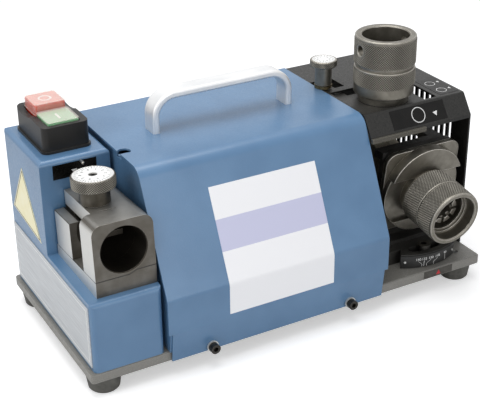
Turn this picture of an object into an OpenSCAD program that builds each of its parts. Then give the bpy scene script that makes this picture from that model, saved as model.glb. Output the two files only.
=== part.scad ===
// Bench drill bit sharpener: setting station on the left, motor under the cover,
// guarded grinding wheel with a front port on a swivel and a top port on the right.
// X runs along the machine, Y to the back, Z up. The origin is the bottom centre of the box.

/* [Base plate and feet] */
// Length of the base plate
base_l = 450; // [380:5:560]
// Depth of the base plate
base_w = 210; // [180:1:260]
// Thickness of the base plate
base_t = 10.5; // [8:0.5:16]
// Diameter of a rubber foot
foot_d = 33.5; // [28:0.5:40]
// Height of a rubber foot below the plate
foot_h = 17; // [12:0.5:30]
// Distance from a foot's centre to the plate's edges
foot_inset = 18.5; // [17:0.5:24]

/* [Left housing] */
// Bare strip of base plate at the left end
end_lip = 4; // [2:0.5:8]
// Width of the housing
housing_w = 71; // [68:0.5:90]
// Height of the tall rear part above the base plate
housing_h = 170; // [150:1:204]
// Height of the front ledge above the base plate
ledge_h = 73; // [50:1:90]
// Depth of the tall rear part
tall_d = 101; // [96:1:112]
// Wall of the housing
housing_wall = 3; // [2:0.5:4]
// Radius of the housing's outer edges
edge_r = 5; // [4:0.5:8]

/* [Switch] */
// Width of the switch frame
switch_w = 50; // [46:1:54]
// Length of the switch frame
switch_l = 78; // [76:1:82]
// Height of the switch frame above the housing
switch_h = 26; // [22:1:30]
// Side of a square button
button_side = 31; // [26:0.5:32]
// Travel of a button
button_travel = 3; // [2:0.5:4]

/* [Setting station] */
// Width of the station
station_w = 60; // [56:1:64]
// Height of the wedge base at the front
wedge_h = 16; // [14:0.5:20]
// Upward tilt of the setting bore towards the front, in degrees
station_tilt = 3; // [0:0.5:5]
// Height of the bored block
block_h = 55; // [53:1:62]
// Width of the side jaw
jaw_w = 11; // [8:0.5:12]
// Height of the side jaw
jaw_h = 37; // [30:1:44]
// Diameter of the web dial
dial_d = 41; // [36:0.5:46]
// Height of the dial's knurled rim
dial_rim_h = 12; // [8:0.5:16]
// Length of the dial's plain neck
dial_neck_h = 15; // [10:0.5:20]

/* [Main cover] */
// Sheet thickness of the cover and guard
sheet_t = 2; // [1.5:0.25:2.5]
// Height of the cover's top above the base plate
cover_h = 172.5; // [165:0.5:207]
// Height above the base plate where the slanted front meets the upright panel
panel_h = 58; // [48:1:70]
// Height above the base plate of the crease over the lower flange
crease_h = 22; // [18:1:30]
// Overhang of the upright panel in front of the base plate
panel_out = 6.8; // [5:0.2:10]
// Length of the carrying handle
handle_l = 156; // [120:1:165]
// Height of the carrying handle
handle_h = 40; // [34:1:50]
// Width of the handle's flat bar
handle_bar_w = 21; // [16:0.5:26]
// Thickness of the handle's flat bar
handle_bar_t = 7.5; // [6:0.5:9]

/* [Wheel guard] */
// Width of the guard
guard_w = 125; // [123:1:150]
// Depth of the guard's top opening
window_d = 64; // [60:0.5:66]
// Pitch of the slots in the end wall
slot_pitch = 9.4; // [8:0.2:12]
// Width of a slot
slot_w = 5; // [3:0.25:6]

/* [Chucks and ports] */
// Diameter of a chuck's nose, which every port and the setting bore take
nose_d = 44.8; // [40:0.1:45]
// Diameter of the upper chuck's knurled rings
top_ring_d = 62.5; // [58:0.5:63]
// Diameter of the front chuck's knurled sleeve
sleeve_d = 60; // [58:0.5:62]
// Diameter of the front chuck's cam flange
flange_d = 92; // [84:0.5:92]
// Downward tilt of the front chuck, in degrees
port_tilt = 8; // [0:0.5:10]
// Reach of the front chuck from the swivel's pivot
chuck_reach = 95; // [92:1:110]
// Bore of the collets, which is the drill shank they grip
collet_bore_d = 12; // [6:0.5:16]

/* [Swivel] */
// Radius of the swivel's scale arc
swivel_r = 65; // [63:0.5:66]
// Thickness of the swivel's sector
swivel_t = 16; // [12:0.5:18]

/* [Motor and wheel] */
// Diameter of the motor body
motor_d = 114; // [90:1:118]
// Diameter of the motor shaft
shaft_d = 14; // [12:0.5:16]
// Diameter of the grinding wheel
wheel_d = 84; // [76:1:84]
// Width of the grinding wheel
wheel_w = 38; // [34:1:40]

/* [Hidden] */
$fn = 96;

// Clearances
fit = 0.08;         // radial clearance of a hand-turned or sliding fit
run = 0.05;         // radial clearance of a running shaft or a screw in its hole
gap = 0.3;          // free space between pieces that move past each other
seam = 1.6;         // joint line between neighbouring sheet-metal pieces
cut = 1;            // overshoot of a cutting tool past the face it opens

// Places along X
housing_x1 = end_lip + housing_w;
housing_mid = end_lip + housing_w / 2;
guard_x0 = base_l - guard_w;
cover_x0 = housing_x1 + seam;
cover_x1 = guard_x0 - seam / 2;
cover_w = cover_x1 - cover_x0;
pivot_x = base_l - 56;

// Places along Y
housing_y0 = 0.5;
housing_y1 = base_w - 2;
tall_y = housing_y1 - tall_d;
cover_y1 = base_w - 6;
guard_y0 = 33;
pivot_y = 72.7;

// Heights over the base plate's underside
deck = base_t;
housing_top = deck + housing_h;
ledge_top = deck + ledge_h;
cover_top = deck + cover_h;
guard_top = cover_top - 0.6;
axis_z = deck + 81;

// Frame shift: the origin is the middle of the whole box at the feet's undersides
gland_out = 12;
chuck_front_y = pivot_y - chuck_reach * cos(port_tilt) - sleeve_d / 2 * sin(port_tilt);
mid_y = (chuck_front_y + housing_y1 + gland_out) / 2;

module in_frame() {
    translate([-base_l / 2, -mid_y, foot_h]) children();
}

// ---------- shared shapes ----------

function unit(v) = v / norm(v);
function left_normal(a, b) = unit([a.y - b.y, b.x - a.x]);

// Corner of a closed outline moved inwards by d, for points listed counter-clockwise
function inset_corner(a, b, c, d) =
    let (n1 = left_normal(a, b), n2 = left_normal(b, c)) b + (n1 + n2) * d / (1 + n1 * n2);

function inset_outline(points, d) =
    let (n = len(points))
    [for (i = [0:n - 1]) inset_corner(points[(i + n - 1) % n], points[i], points[(i + 1) % n], d)];

// Filled outline with rounded convex corners, points listed counter-clockwise, radius 0 keeps a
// corner sharp. A square corner gets a true arc, and a sheet-metal bend a fine run of flats.
module round_outline(points, radii) {
    n = len(points);
    flats = 12;
    function before(i) = unit(points[(i + n - 1) % n] - points[i]);
    function after(i) = unit(points[(i + 1) % n] - points[i]);
    function is_square(i) = abs(before(i) * after(i)) < 0.001;
    function half_angle(i) = acos(before(i) * after(i)) / 2;
    function start(i) = points[i] + before(i) * radii[i] / tan(half_angle(i));
    function centre(i) = points[i] + unit(before(i) + after(i)) * radii[i] / sin(half_angle(i));
    function corner(i) =
        radii[i] == 0 ? [points[i]] :
        is_square(i) ? [start(i), points[i] + after(i) * radii[i]] :
        let (c = centre(i), arm = start(i) - c, from = atan2(arm.y, arm.x), turn = 180 - 2 * half_angle(i))
        [for (k = [0:flats]) c + radii[i] * [cos(from + turn * k / flats), sin(from + turn * k / flats)]];
    polygon([for (i = [0:n - 1]) each corner(i)]);
    for (i = [0:n - 1]) if (radii[i] > 0 && is_square(i)) translate(centre(i)) circle(radii[i]);
}

// Rectangle centred on the origin with round corners
module round_rect(w, d, r) {
    round_outline([[-w / 2, -d / 2], [w / 2, -d / 2], [w / 2, d / 2], [-w / 2, d / 2]], [r, r, r, r]);
}

// Turns a YZ outline into a solid that runs along +X
module along_x(length) {
    rotate([90, 0, 90]) linear_extrude(length) children();
}

// Ring along Z with a through hole
module ring(r_out, r_in, h) {
    difference() {
        cylinder(r = r_out, h = h);
        translate([0, 0, -cut]) cylinder(r = r_in, h = h + 2 * cut);
    }
}

// Socket-head screw: underside of the head at z = 0, shank down
module socket_screw(d, length, head_d, head_h) {
    difference() {
        union() {
            translate([0, 0, -length]) cylinder(d = d, h = length + head_h / 2);
            cylinder(d = head_d, h = head_h);
        }
        translate([0, 0, head_h * 0.4]) cylinder(d = d * 0.9, h = head_h, $fn = 6);
    }
}

// Pie slice in the XY plane between two angles, reaching past radius r
module pie(r, a0, a1) {
    polygon([
        [0, 0], 1.5 * r * [cos(a0), sin(a0)],
        1.5 * r * [cos((a0 + a1) / 2), sin((a0 + a1) / 2)], 1.5 * r * [cos(a1), sin(a1)]
    ]);
}

// Helical wire spring along Z, with its wire's centre line from z = 0 to height
module coil_spring(coil_r, wire_r, height, turns) {
    sides = 8;
    steps = turns * 16;
    ring_points = [
        for (i = [0:steps], j = [0:sides - 1])
            let (turn = 360 * turns * i / steps, a = 360 * j / sides, r = coil_r + wire_r * cos(a))
            [r * cos(turn), r * sin(turn), height * i / steps + wire_r * sin(a)]
    ];
    walls = [
        for (i = [0:steps - 1], j = [0:sides - 1])
            let (k = (j + 1) % sides, a = i * sides, b = a + sides)
            [a + j, a + k, b + k, b + j]
    ];
    polyhedron(ring_points, concat(
        walls,
        [[for (j = [sides - 1:-1:0]) j]],
        [[for (j = [0:sides - 1]) steps * sides + j]]
    ));
}

// ---------- base ----------

foot_screw_d = 6;
foot_spots = [
    for (x = [foot_inset, base_l - foot_inset], y = [foot_inset, base_w - foot_inset]) [x, y]
];
cover_screw_d = 6;
cover_screw_x = [cover_x0 + 46, cover_x1 - 44];
pivot_bolt_d = 12;
lock_screw_d = 8;
lock_r = 53;
lock_angle = -95;
lock_spot = [pivot_x + lock_r * cos(lock_angle), pivot_y + lock_r * sin(lock_angle)];
guard_screw_d = 5;
guard_foot = 14;
guard_screw_y = [base_w - 90, base_w - 30];

// Screw hole straight down through the base plate
module deck_hole(spot, d) {
    translate([spot.x, spot.y, -cut]) cylinder(d = d + 2 * run, h = base_t + 2 * cut);
}

module base_plate() {
    chamfer = 0.8;
    color("#6e6c68") in_frame() difference() {
        translate([base_l / 2, base_w / 2, 0]) {
            translate([0, 0, chamfer]) linear_extrude(base_t - 2 * chamfer) round_rect(base_l, base_w, 3);
            linear_extrude(base_t) round_rect(base_l - 2 * chamfer, base_w - 2 * chamfer, 3);
        }
        for (spot = foot_spots) deck_hole(spot, foot_screw_d);
        for (x = cover_screw_x)
            translate([x, -cut, base_t / 2]) rotate([-90, 0, 0]) cylinder(d = cover_screw_d + 2 * run, h = 20);
        deck_hole([pivot_x, pivot_y], pivot_bolt_d);
        deck_hole(lock_spot, lock_screw_d);
        for (spot = motor_bolt_spots) deck_hole(spot, motor_bolt_d);
        for (y = guard_screw_y) deck_hole([base_l - sheet_t - guard_foot / 2, y], guard_screw_d);
    }
}

foot_recess_h = 6;

module rubber_feet() {
    hole_r = foot_screw_d / 2 + run;
    color("#3a3a38") in_frame() for (spot = foot_spots)
        translate([spot.x, spot.y, -foot_h]) rotate_extrude() polygon([
            [hole_r, foot_h], [foot_d / 2, foot_h], [foot_d / 2, foot_h * 0.7],
            [foot_d / 2 - 1.6, 1.5], [foot_d / 2 - 3, 0], [8, 0], [8, foot_recess_h], [hole_r, foot_recess_h]
        ]);
}

module foot_screws() {
    color("#8a8a8a") in_frame() for (spot = foot_spots)
        translate([spot.x, spot.y, foot_recess_h - foot_h]) rotate([180, 0, 0])
            socket_screw(foot_screw_d, foot_h - foot_recess_h + base_t - 1, 11, 4);
}

// ---------- left housing ----------

gland_spot = [housing_mid + 9, deck + 32];
gland_d = 16;
pin_spot = [end_lip + 41.5, housing_top - 6];
pin_d = 3;
pin_out = 7;
switch_y = tall_y + 14 + switch_l / 2;

// Side outline of the housing, moved inwards by inset
module housing_side(inset) {
    outline = [
        [housing_y0, deck - 2 * inset], [housing_y1, deck - 2 * inset], [housing_y1, housing_top],
        [tall_y, housing_top], [tall_y, ledge_top], [housing_y0, ledge_top]
    ];
    r = max(edge_r - inset, 1);
    round_outline(inset_outline(outline, inset), [0, 0, r, r, 0, r]);
}

// Solid common to the housing's side and plan outlines, moved inwards by inset
module housing_block(inset) {
    r = max(edge_r - inset, 1);
    intersection() {
        translate([end_lip + inset, 0, 0]) along_x(housing_w - 2 * inset) housing_side(inset);
        translate([housing_mid, (housing_y0 + housing_y1) / 2, deck - 2 * housing_wall])
            linear_extrude(housing_h + 4 * housing_wall)
                round_rect(housing_w - 2 * inset, housing_y1 - housing_y0 - 2 * inset, r);
        translate([housing_mid, housing_y1 + cut, 0]) rotate([90, 0, 0]) linear_extrude(base_w + 2 * cut)
            round_outline(
                [[-housing_w / 2 + inset, -cut], [housing_w / 2 - inset, -cut],
                 [housing_w / 2 - inset, housing_top - inset], [-housing_w / 2 + inset, housing_top - inset]],
                [0, 0, r, r]);
    }
}

// Flat plates welded edge to edge between two side plates, with a hairline left along each weld
module left_housing() {
    wire_window = [50, 90];
    hairline = 0.05;
    between_sides = end_lip + housing_wall + hairline / 2;
    color("#5b7fae") in_frame() difference() {
        housing_block(0);
        housing_block(housing_wall);
        translate([housing_mid, switch_y, housing_top - housing_wall - cut])
            linear_extrude(housing_wall + 2 * cut) round_rect(switch_w - 14, switch_l - 14, 4);
        translate([gland_spot.x, housing_y1 + cut, gland_spot.y]) rotate([90, 0, 0])
            cylinder(d = gland_d + 2 * run, h = housing_wall + 2 * cut);
        translate([housing_x1 - housing_wall - cut, tall_y + 25, deck + 20])
            cube([housing_wall + 2 * cut, wire_window.x, wire_window.y]);
        for (x = [end_lip + housing_wall, housing_x1 - housing_wall - hairline])
            translate([x, -cut, -cut]) cube([hairline, base_w + 2 * cut, housing_top + 2 * cut]);
        for (z = [ledge_top, housing_top - max(edge_r - housing_wall, 1)])
            translate([between_sides, -cut, z - housing_wall - hairline])
                cube([housing_w - 2 * housing_wall - hairline, base_w + 2 * cut, hairline]);
        translate([between_sides, tall_y - hairline, ledge_top - housing_wall - hairline / 2])
            cube([housing_w - 2 * housing_wall - hairline, hairline, housing_wall + hairline]);
        translate([pin_spot.x, tall_y + housing_wall + cut, pin_spot.y]) rotate([90, 0, 0])
            cylinder(d = pin_d + 2 * run, h = housing_wall + 2 * cut);
        station_screw_holes();
    }
}

module data_plate() {
    margin = 6;
    color("#a9adb0") in_frame()
        translate([end_lip - 1, margin, deck + 4]) cube([1, base_w - 2 * margin - 2, ledge_h - 9]);
}

module pointer_pin() {
    color("#9a9a9a") in_frame()
        translate([pin_spot.x, tall_y + housing_wall, pin_spot.y]) rotate([90, 0, 0]) {
            cylinder(d = pin_d, h = housing_wall + pin_out - 1);
            translate([0, 0, housing_wall + pin_out - 1]) cylinder(r1 = pin_d / 2, r2 = pin_d / 2 - 1, h = 1);
        }
}

module run_capacitor() {
    can_d = 35;
    can_l = 62;
    color("#c9c9c4") in_frame()
        translate([housing_mid - 6, tall_y + 10, deck + can_d / 2]) rotate([-90, 0, 0]) {
            cylinder(d = can_d, h = can_l);
            translate([0, 0, can_l]) cylinder(d = can_d - 8, h = 4);
        }
}

module mains_gland() {
    nut_af = 20;
    color("#2a2a2a") in_frame()
        translate([gland_spot.x, housing_y1, gland_spot.y]) rotate([-90, 0, 0]) difference() {
            union() {
                cylinder(d = nut_af / cos(30), h = 5, $fn = 6);
                translate([0, 0, 5]) cylinder(r1 = nut_af / 2, r2 = nut_af / 2 - 3, h = gland_out - 5);
                translate([0, 0, -housing_wall - 8]) cylinder(d = gland_d, h = housing_wall + 9);
                translate([0, 0, -housing_wall - 6]) cylinder(d = nut_af / cos(30), h = 6, $fn = 6);
            }
            translate([0, 0, -housing_wall - 9]) cylinder(d = 9, h = 40);
        }
}

// ---------- switch ----------

frame_floor = 3;
button_base = 14;
stem_d = 10;
stop_y = switch_y + button_side / 2 + 1.5;
start_y = switch_y - button_side / 2 - 1;
start_top = switch_h + 1.5;
stop_top = switch_h + 8;
spring_h = button_base - frame_floor - 1.6;

module switch_frame() {
    pocket_w = button_side + 2 * gap + 2;
    pocket_l = 2 * button_side + 2 * gap + 4;
    dip_r = 60;
    color("#262626") in_frame() translate([housing_mid, switch_y, housing_top]) difference() {
        union() {
            linear_extrude(2.5) round_rect(switch_w, switch_l, 7);
            linear_extrude(switch_h) round_rect(switch_w - 3, switch_l - 3, 6);
        }
        translate([0, 0.25, frame_floor]) linear_extrude(switch_h) round_rect(pocket_w, pocket_l, 2);
        for (y = [stop_y, start_y])
            translate([0, y - switch_y, -cut]) cylinder(d = stem_d + 2 * fit, h = frame_floor + 2 * cut);
        translate([-switch_w, button_side / 2 + 2, switch_h + dip_r - 4]) rotate([0, 90, 0])
            cylinder(r = dip_r, h = 2 * switch_w);
    }
}

module switch_body() {
    body_h = 42;
    color("#3c3c3c") in_frame() translate([housing_mid, switch_y, housing_top - body_h]) difference() {
        linear_extrude(body_h) round_rect(switch_w - 16, switch_l - 16, 3);
        for (y = [stop_y, start_y])
            translate([0, y - switch_y, body_h - 12]) cylinder(d = stem_d + 2 * fit, h = 14);
    }
}

// Square push button with a stem: the top face lies at height top over the housing
module push_button(y, top) {
    in_frame() translate([housing_mid, y, housing_top]) {
        translate([0, 0, button_base]) linear_extrude(top - button_base - 1)
            round_rect(button_side, button_side, 2.5);
        translate([0, 0, top - 1]) linear_extrude(1) round_rect(button_side - 2, button_side - 2, 2.5);
        translate([0, 0, -6]) cylinder(d = stem_d, h = button_base + 6.5);
    }
}

module stop_button() {
    color("#d8402c") push_button(stop_y, stop_top);
}

module start_button() {
    color("#3f9a52") push_button(start_y, start_top);
}

module stop_spring() {
    color("silver") in_frame() translate([housing_mid, stop_y, housing_top + frame_floor + 0.8])
        coil_spring(8, 0.6, spring_h, 4);
}

module start_spring() {
    color("silver") in_frame() translate([housing_mid, start_y, housing_top + frame_floor + 0.8])
        coil_spring(8, 0.6, spring_h, 4);
}

// ---------- setting station ----------

station_x = housing_x1 - station_w - 0.4;
station_y = 10;
block_l = tall_y - station_y - 4;
bore_mid = [station_w / 2, 26];
bore_l = 70;
front_wall = 28;
port_bore_r = nose_d / 2 + fit;
key_x = [33.3, 40.8];
key_h = 3;
joint_line_t = 0.7;
dial_spot = [jaw_w + 15, front_wall + 23];
dial_stem_r = 5;
dial_hole_r = 3;
station_screw_d = 5;
station_screw_spots = [
    [7.5, 12], [station_w - 7.5, 12], [station_w - 7.5, block_l - 9],
    [jaw_w / 2, block_l - 30], [jaw_w / 2, block_l - 9]
];
station_screw_up = wedge_h + 10;

// Station axes: origin at the wedge's top front left edge, sloping down to the back
module in_station() {
    translate([station_x, station_y, ledge_top + wedge_h]) rotate([-station_tilt, 0, 0]) children();
}

module station_screw_holes() {
    for (spot = station_screw_spots)
        translate([station_x + spot.x, station_y + spot.y, ledge_top - housing_wall - cut])
            cylinder(d = station_screw_d + 2 * run, h = station_screw_up + housing_wall + 2 * cut);
}

// Everything under the stepped joint of wedge and block, raised by a little and that deep from the front
module under_joint(raise, depth) {
    translate([0, depth, 0]) rotate([90, 0, 0]) linear_extrude(depth + cut) polygon([
        [-cut, -40], [station_w + cut, -40], [station_w + cut, key_h + raise],
        [key_x[1], key_h + raise], [key_x[0], raise], [-cut, raise]
    ]);
}

module wedge_base() {
    depth = tall_y - station_y - 1.5;
    drop = depth * tan(station_tilt);
    color("#77736a") in_frame() difference() {
        union() {
            translate([station_x, station_y, ledge_top]) along_x(station_w)
                polygon([[0, 0], [depth, 0], [depth, wedge_h - drop], [0, wedge_h]]);
            in_station() intersection() {
                translate([0, 0, -0.5]) cube([station_w, block_l, 10]);
                under_joint(0, block_l);
            }
        }
        station_screw_holes();
    }
}

module setting_block() {
    mark_l = 15;
    color("#77736a") in_frame() difference() {
        in_station() difference() {
            translate([0, block_l, 0]) rotate([90, 0, 0]) linear_extrude(block_l)
                round_outline([[0, 0], [station_w, 0], [station_w, block_h], [0, block_h]], [0, 0, 10, 10]);
            translate([-cut, front_wall, -cut]) cube([jaw_w + 0.5 + cut, block_l, block_h + 2 * cut]);
            translate([bore_mid.x, -cut, bore_mid.y]) rotate([-90, 0, 0]) {
                cylinder(r = port_bore_r, h = bore_l);
                translate([0, 0, front_wall + cut]) cylinder(r = port_bore_r + 0.6, h = bore_l - front_wall);
            }
            translate([bore_mid.x, -0.01, bore_mid.y]) rotate([-90, 0, 0])
                cylinder(r1 = port_bore_r + 1, r2 = port_bore_r, h = 1);
            translate([dial_spot.x, dial_spot.y, bore_mid.y]) cylinder(r = dial_stem_r + fit, h = block_h);
            translate([jaw_w + 10.5, front_wall, block_h - 2]) cube([mark_l, 0.8, 4]);
            under_joint(0.01, block_l + cut);
            under_joint(joint_line_t, joint_line_t);
        }
        station_screw_holes();
    }
}

module side_jaw() {
    jaw_y = front_wall + 27.5;
    color("#77736a") in_frame() difference() {
        in_station() translate([0, block_l, 0]) rotate([90, 0, 0]) linear_extrude(block_l - jaw_y)
            polygon([[0, 0], [jaw_w, 0], [jaw_w, jaw_h], [0.6, jaw_h], [0, jaw_h - 0.6]]);
        station_screw_holes();
    }
}

module station_screws() {
    color("#8a8a8a") in_frame() for (spot = station_screw_spots)
        translate([station_x + spot.x, station_y + spot.y, ledge_top - housing_wall]) rotate([180, 0, 0])
            socket_screw(station_screw_d, station_screw_up + housing_wall - 1, 8.5, 5);
}

dial_face_r = dial_d / 2 - 1.4;
dial_face_t = 0.8;
dial_top = gap + dial_neck_h + dial_rim_h;
dial_head_d = 8.5;
dial_head_h = 4;

// Dial axes: origin where the dial's axis meets the block's top
module in_dial() {
    in_frame() in_station() translate([dial_spot.x, dial_spot.y, block_h]) children();
}

module web_dial() {
    r = dial_d / 2;
    neck_top = gap + dial_neck_h;
    color("#6f6c66") in_dial() difference() {
        rotate_extrude() polygon([
            [0, dial_top], [r - 0.8, dial_top], [r, dial_top - 0.8], [r, neck_top + 0.8], [r - 0.8, neck_top],
            [r - 6, neck_top], [r - 6, gap], [dial_stem_r, gap], [dial_stem_r, -6], [0, -6]
        ]);
        translate([0, 0, dial_top - dial_face_t]) cylinder(r = dial_face_r + run, h = 2);
        translate([0, 0, dial_top - dial_head_h - 1]) cylinder(d = dial_head_d + 2 * run, h = 10);
        translate([0, 0, dial_top - dial_head_h - 9]) cylinder(r = 2.5 + run, h = 10);
        translate([0, 0, -7]) cylinder(r = dial_hole_r, h = 20);
    }
}

module web_dial_face() {
    color("white") in_dial() translate([0, 0, dial_top - dial_face_t])
        ring(dial_face_r, dial_head_d / 2 + run, dial_face_t);
}

module dial_screw() {
    color("#555555") in_dial() translate([0, 0, dial_top - dial_head_h - 1])
        socket_screw(5, 7, dial_head_d, dial_head_h);
}

module web_stop() {
    plate = [30, 36, 5];
    color("#8b877d") in_dial() {
        translate([-14, -21, -28]) cube(plate);
        translate([0, 0, -24]) cylinder(r = dial_hole_r - fit, h = 34);
    }
}

// ---------- main cover ----------

slant_top_y = 46.5;
flange_bottom = 0.6;
flange_y = -sheet_t - 0.9;
cover_outline = [
    [flange_y, flange_bottom], [cover_y1, deck - cut], [cover_y1, cover_top],
    [slant_top_y, cover_top], [-panel_out, deck + panel_h], [-panel_out, deck + crease_h]
];
cover_radii = [0, 0, 4, 16, 12, 3];
handle_x = [(cover_x0 + cover_x1 - handle_l + handle_bar_t) / 2, (cover_x0 + cover_x1 + handle_l - handle_bar_t) / 2];
handle_y = 119;
access_r = 6.5;
access_y = slant_top_y + 42;
handle_screw_d = 6;

// Filled side outline inside the cover's skin, open far below the base plate's top
module cover_inside(depth) {
    drop = 40;
    steer = (flange_y + panel_out) / (crease_h + deck - flange_bottom);
    opened = concat([[flange_y + steer * drop, flange_bottom - drop], [cover_y1, -drop]],
                    [for (i = [2:5]) cover_outline[i]]);
    round_outline(inset_outline(opened, depth), [0, 0, 4 - depth, 16 - depth, 12 - depth, 1]);
}

module main_cover() {
    flange_side = 4;
    vent_count = 12;
    vent = [5, 60];
    vent_pitch = (cover_w - 60) / (vent_count - 1);
    color("#5b7fae") in_frame() difference() {
        translate([cover_x0, 0, 0]) along_x(cover_w) round_outline(cover_outline, cover_radii);
        translate([cover_x0 - cut, 0, 0]) along_x(cover_w + 2 * cut) cover_inside(sheet_t);
        translate([cover_x0 - cut, -0.5, -cut]) cube([cover_w + 2 * cut, base_w, deck + cut]);
        for (x = [cover_x0 - cut, cover_x1 - flange_side])
            translate([x, -20, -cut]) cube([flange_side + cut, 20, deck + crease_h + cut]);
        for (x = cover_screw_x) {
            translate([x, 5, base_t / 2]) rotate([90, 0, 0]) cylinder(d = cover_screw_d + 1, h = 20);
            translate([x - cover_screw_d / 2 - 0.5, -15, base_t / 2 - 15]) cube([cover_screw_d + 1, 20, 15]);
        }
        translate([cover_x0 + access_r - 1, access_y, cover_top - 10]) cylinder(r = access_r, h = 20);
        for (x = handle_x)
            translate([x, handle_y, cover_top - 10]) cylinder(d = handle_screw_d + 2 * run, h = 20);
        for (i = [0:vent_count - 1])
            translate([cover_x0 + 30 + i * vent_pitch, cover_y1 + cut, deck + 58]) rotate([90, 0, 0])
                linear_extrude(sheet_t + 2 * cut) round_rect(vent.x, vent.y, vent.x / 2 - 0.1);
    }
}

washer_t = 1.6;
washer_y = flange_y - 1.4;

module cover_screws() {
    color("#7a7a7a") in_frame() for (x = cover_screw_x)
        translate([x, washer_y - washer_t, base_t / 2]) rotate([90, 0, 0])
            socket_screw(cover_screw_d, 18, 10, 6);
}

module cover_washers() {
    color("#d8d8d4") in_frame() for (x = cover_screw_x)
        translate([x, washer_y, base_t / 2]) rotate([90, 0, 0])
            ring(6, cover_screw_d / 2 + run, washer_t);
}

// Flat bar bent into a bow: two legs, two round corners and the grip
module carry_handle() {
    bend_r = 21;
    leg_x = (handle_l - handle_bar_t) / 2;
    leg_h = handle_h - handle_bar_t / 2 - bend_r;
    grip = 2 * (leg_x - bend_r);
    color("#e4e4e0") in_frame() difference() {
        translate([(handle_x[0] + handle_x[1]) / 2, handle_y, cover_top]) {
            for (side = [0, 1]) mirror([side, 0, 0]) {
                translate([leg_x, 0, 0]) linear_extrude(leg_h) round_rect(handle_bar_t, handle_bar_w, 2.5);
                translate([leg_x - bend_r, 0, leg_h]) rotate([90, 0, 0]) rotate_extrude(angle = 90)
                    translate([bend_r, 0]) round_rect(handle_bar_t, handle_bar_w, 2.5);
            }
            translate([-grip / 2, 0, leg_h + bend_r]) rotate([90, 0, 90]) linear_extrude(grip)
                round_rect(handle_bar_w, handle_bar_t, 2.5);
        }
        for (x = handle_x)
            translate([x, handle_y, cover_top - cut]) cylinder(d = handle_screw_d + 2 * run, h = 13 + cut);
    }
}

module handle_screws() {
    color("#8a8a8a") in_frame() for (x = handle_x)
        translate([x, handle_y, cover_top - sheet_t]) rotate([180, 0, 0])
            socket_screw(handle_screw_d, 12 + sheet_t, 10, 6);
}

// ---------- wheel guard ----------

guard_y1 = base_w - 7;
strip_y = 47.4;
strip_drop = 20.4;
guard_outline = [
    [guard_y0, deck], [guard_y1, deck], [guard_y1, guard_top],
    [strip_y, guard_top], [guard_y0, guard_top - strip_drop]
];

// Guard outline with its front strip run on far below, so that the inside opens to the front
module guard_inside() {
    strip = [guard_y0 - strip_y, -strip_drop];
    low = [strip_y, guard_top] + 3 * strip;
    round_outline(inset_outline(
        [[low.x, -40], [guard_y1, -40], [guard_y1, guard_top], [strip_y, guard_top], low], sheet_t),
        [0, 0, 2, 1, 0]);
}

module wheel_guard() {
    window = [guard_x0 + 2.5, base_l - 32.5];
    window_y = strip_y + 3.6;
    knob_notch = [27, 26];
    slot_y = [guard_y0 + 28, guard_y1 - 28];
    slot_z = [deck + 60, guard_top - 19];
    slots = floor((slot_y[1] - slot_y[0]) / slot_pitch);
    color("#242424") in_frame() difference() {
        union() {
            difference() {
                translate([guard_x0, 0, 0]) along_x(guard_w) round_outline(guard_outline, [0, 0, 4, 3, 0]);
                translate([guard_x0 - cut, 0, 0]) along_x(guard_w + cut - sheet_t) guard_inside();
            }
            translate([base_l - sheet_t - guard_foot, guard_screw_y[0] - 15, deck])
                cube([guard_foot + cut, guard_screw_y[1] - guard_screw_y[0] + 30, sheet_t]);
        }
        translate([window[0], window_y, guard_top - 10]) cube([window[1] - window[0], window_d, 20]);
        translate([guard_x0 - cut, knob_spot.y - knob_notch.y / 2 + 5, guard_top - 10])
            cube([knob_notch.x + cut, knob_notch.y, 20]);
        for (i = [0:slots])
            translate([base_l - sheet_t - cut, slot_y[0] + i * slot_pitch, slot_z[0]])
                cube([sheet_t + 2 * cut, slot_w, slot_z[1] - slot_z[0]]);
        for (y = guard_screw_y)
            translate([base_l - sheet_t - guard_foot / 2, y, deck - cut])
                cylinder(d = guard_screw_d + 2 * run, h = sheet_t + 2 * cut);
    }
}

module guard_lip() {
    lip = [66, 3, 4.6];
    color("#5a5a58") in_frame()
        translate([guard_x0, guard_y0 - lip.y, guard_top - strip_drop - lip.z - 0.4]) cube(lip);
}

module guard_screws() {
    color("#8a8a8a") in_frame() for (y = guard_screw_y)
        translate([base_l - sheet_t - guard_foot / 2, y, deck + sheet_t])
            socket_screw(guard_screw_d, base_t + sheet_t - 1, 8.5, 5);
}

// ---------- bulkheads ----------

bulkhead_t = 3;
bulkhead_left_x = cover_x0 + 2.4;
bulkhead_right_x = cover_x1 - bulkhead_t - 3;
shelf_y = [51, 146];
shelf_x1 = guard_x0 + 20;
plate_screw_d = 5;
plate_screw_spots = [[guard_x0 + 12, 60], [guard_x0 + 12, 106], [guard_x0 + 6, 120]];

// Flat wall that fills the cover's inside and stands on the base plate
module bulkhead(thickness) {
    along_x(thickness) difference() {
        cover_inside(sheet_t + 0.2);
        translate([-50, deck - 100]) square([base_w + 100, 100]);
    }
}

module bulkhead_left() {
    shelf = [14, 20, 2];
    color("#4f71a0") in_frame() translate([bulkhead_left_x, 0, 0]) difference() {
        union() {
            bulkhead(2);
            translate([0, access_y - shelf.y, cover_top - sheet_t - 0.2 - shelf.z]) cube(shelf);
        }
        translate([-cut, tall_y + 50, deck + 110]) rotate([0, 90, 0]) cylinder(r = 12, h = 4);
        translate([-cut, access_y, cover_top - 8]) cube([4, 10, 10]);
    }
}

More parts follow.
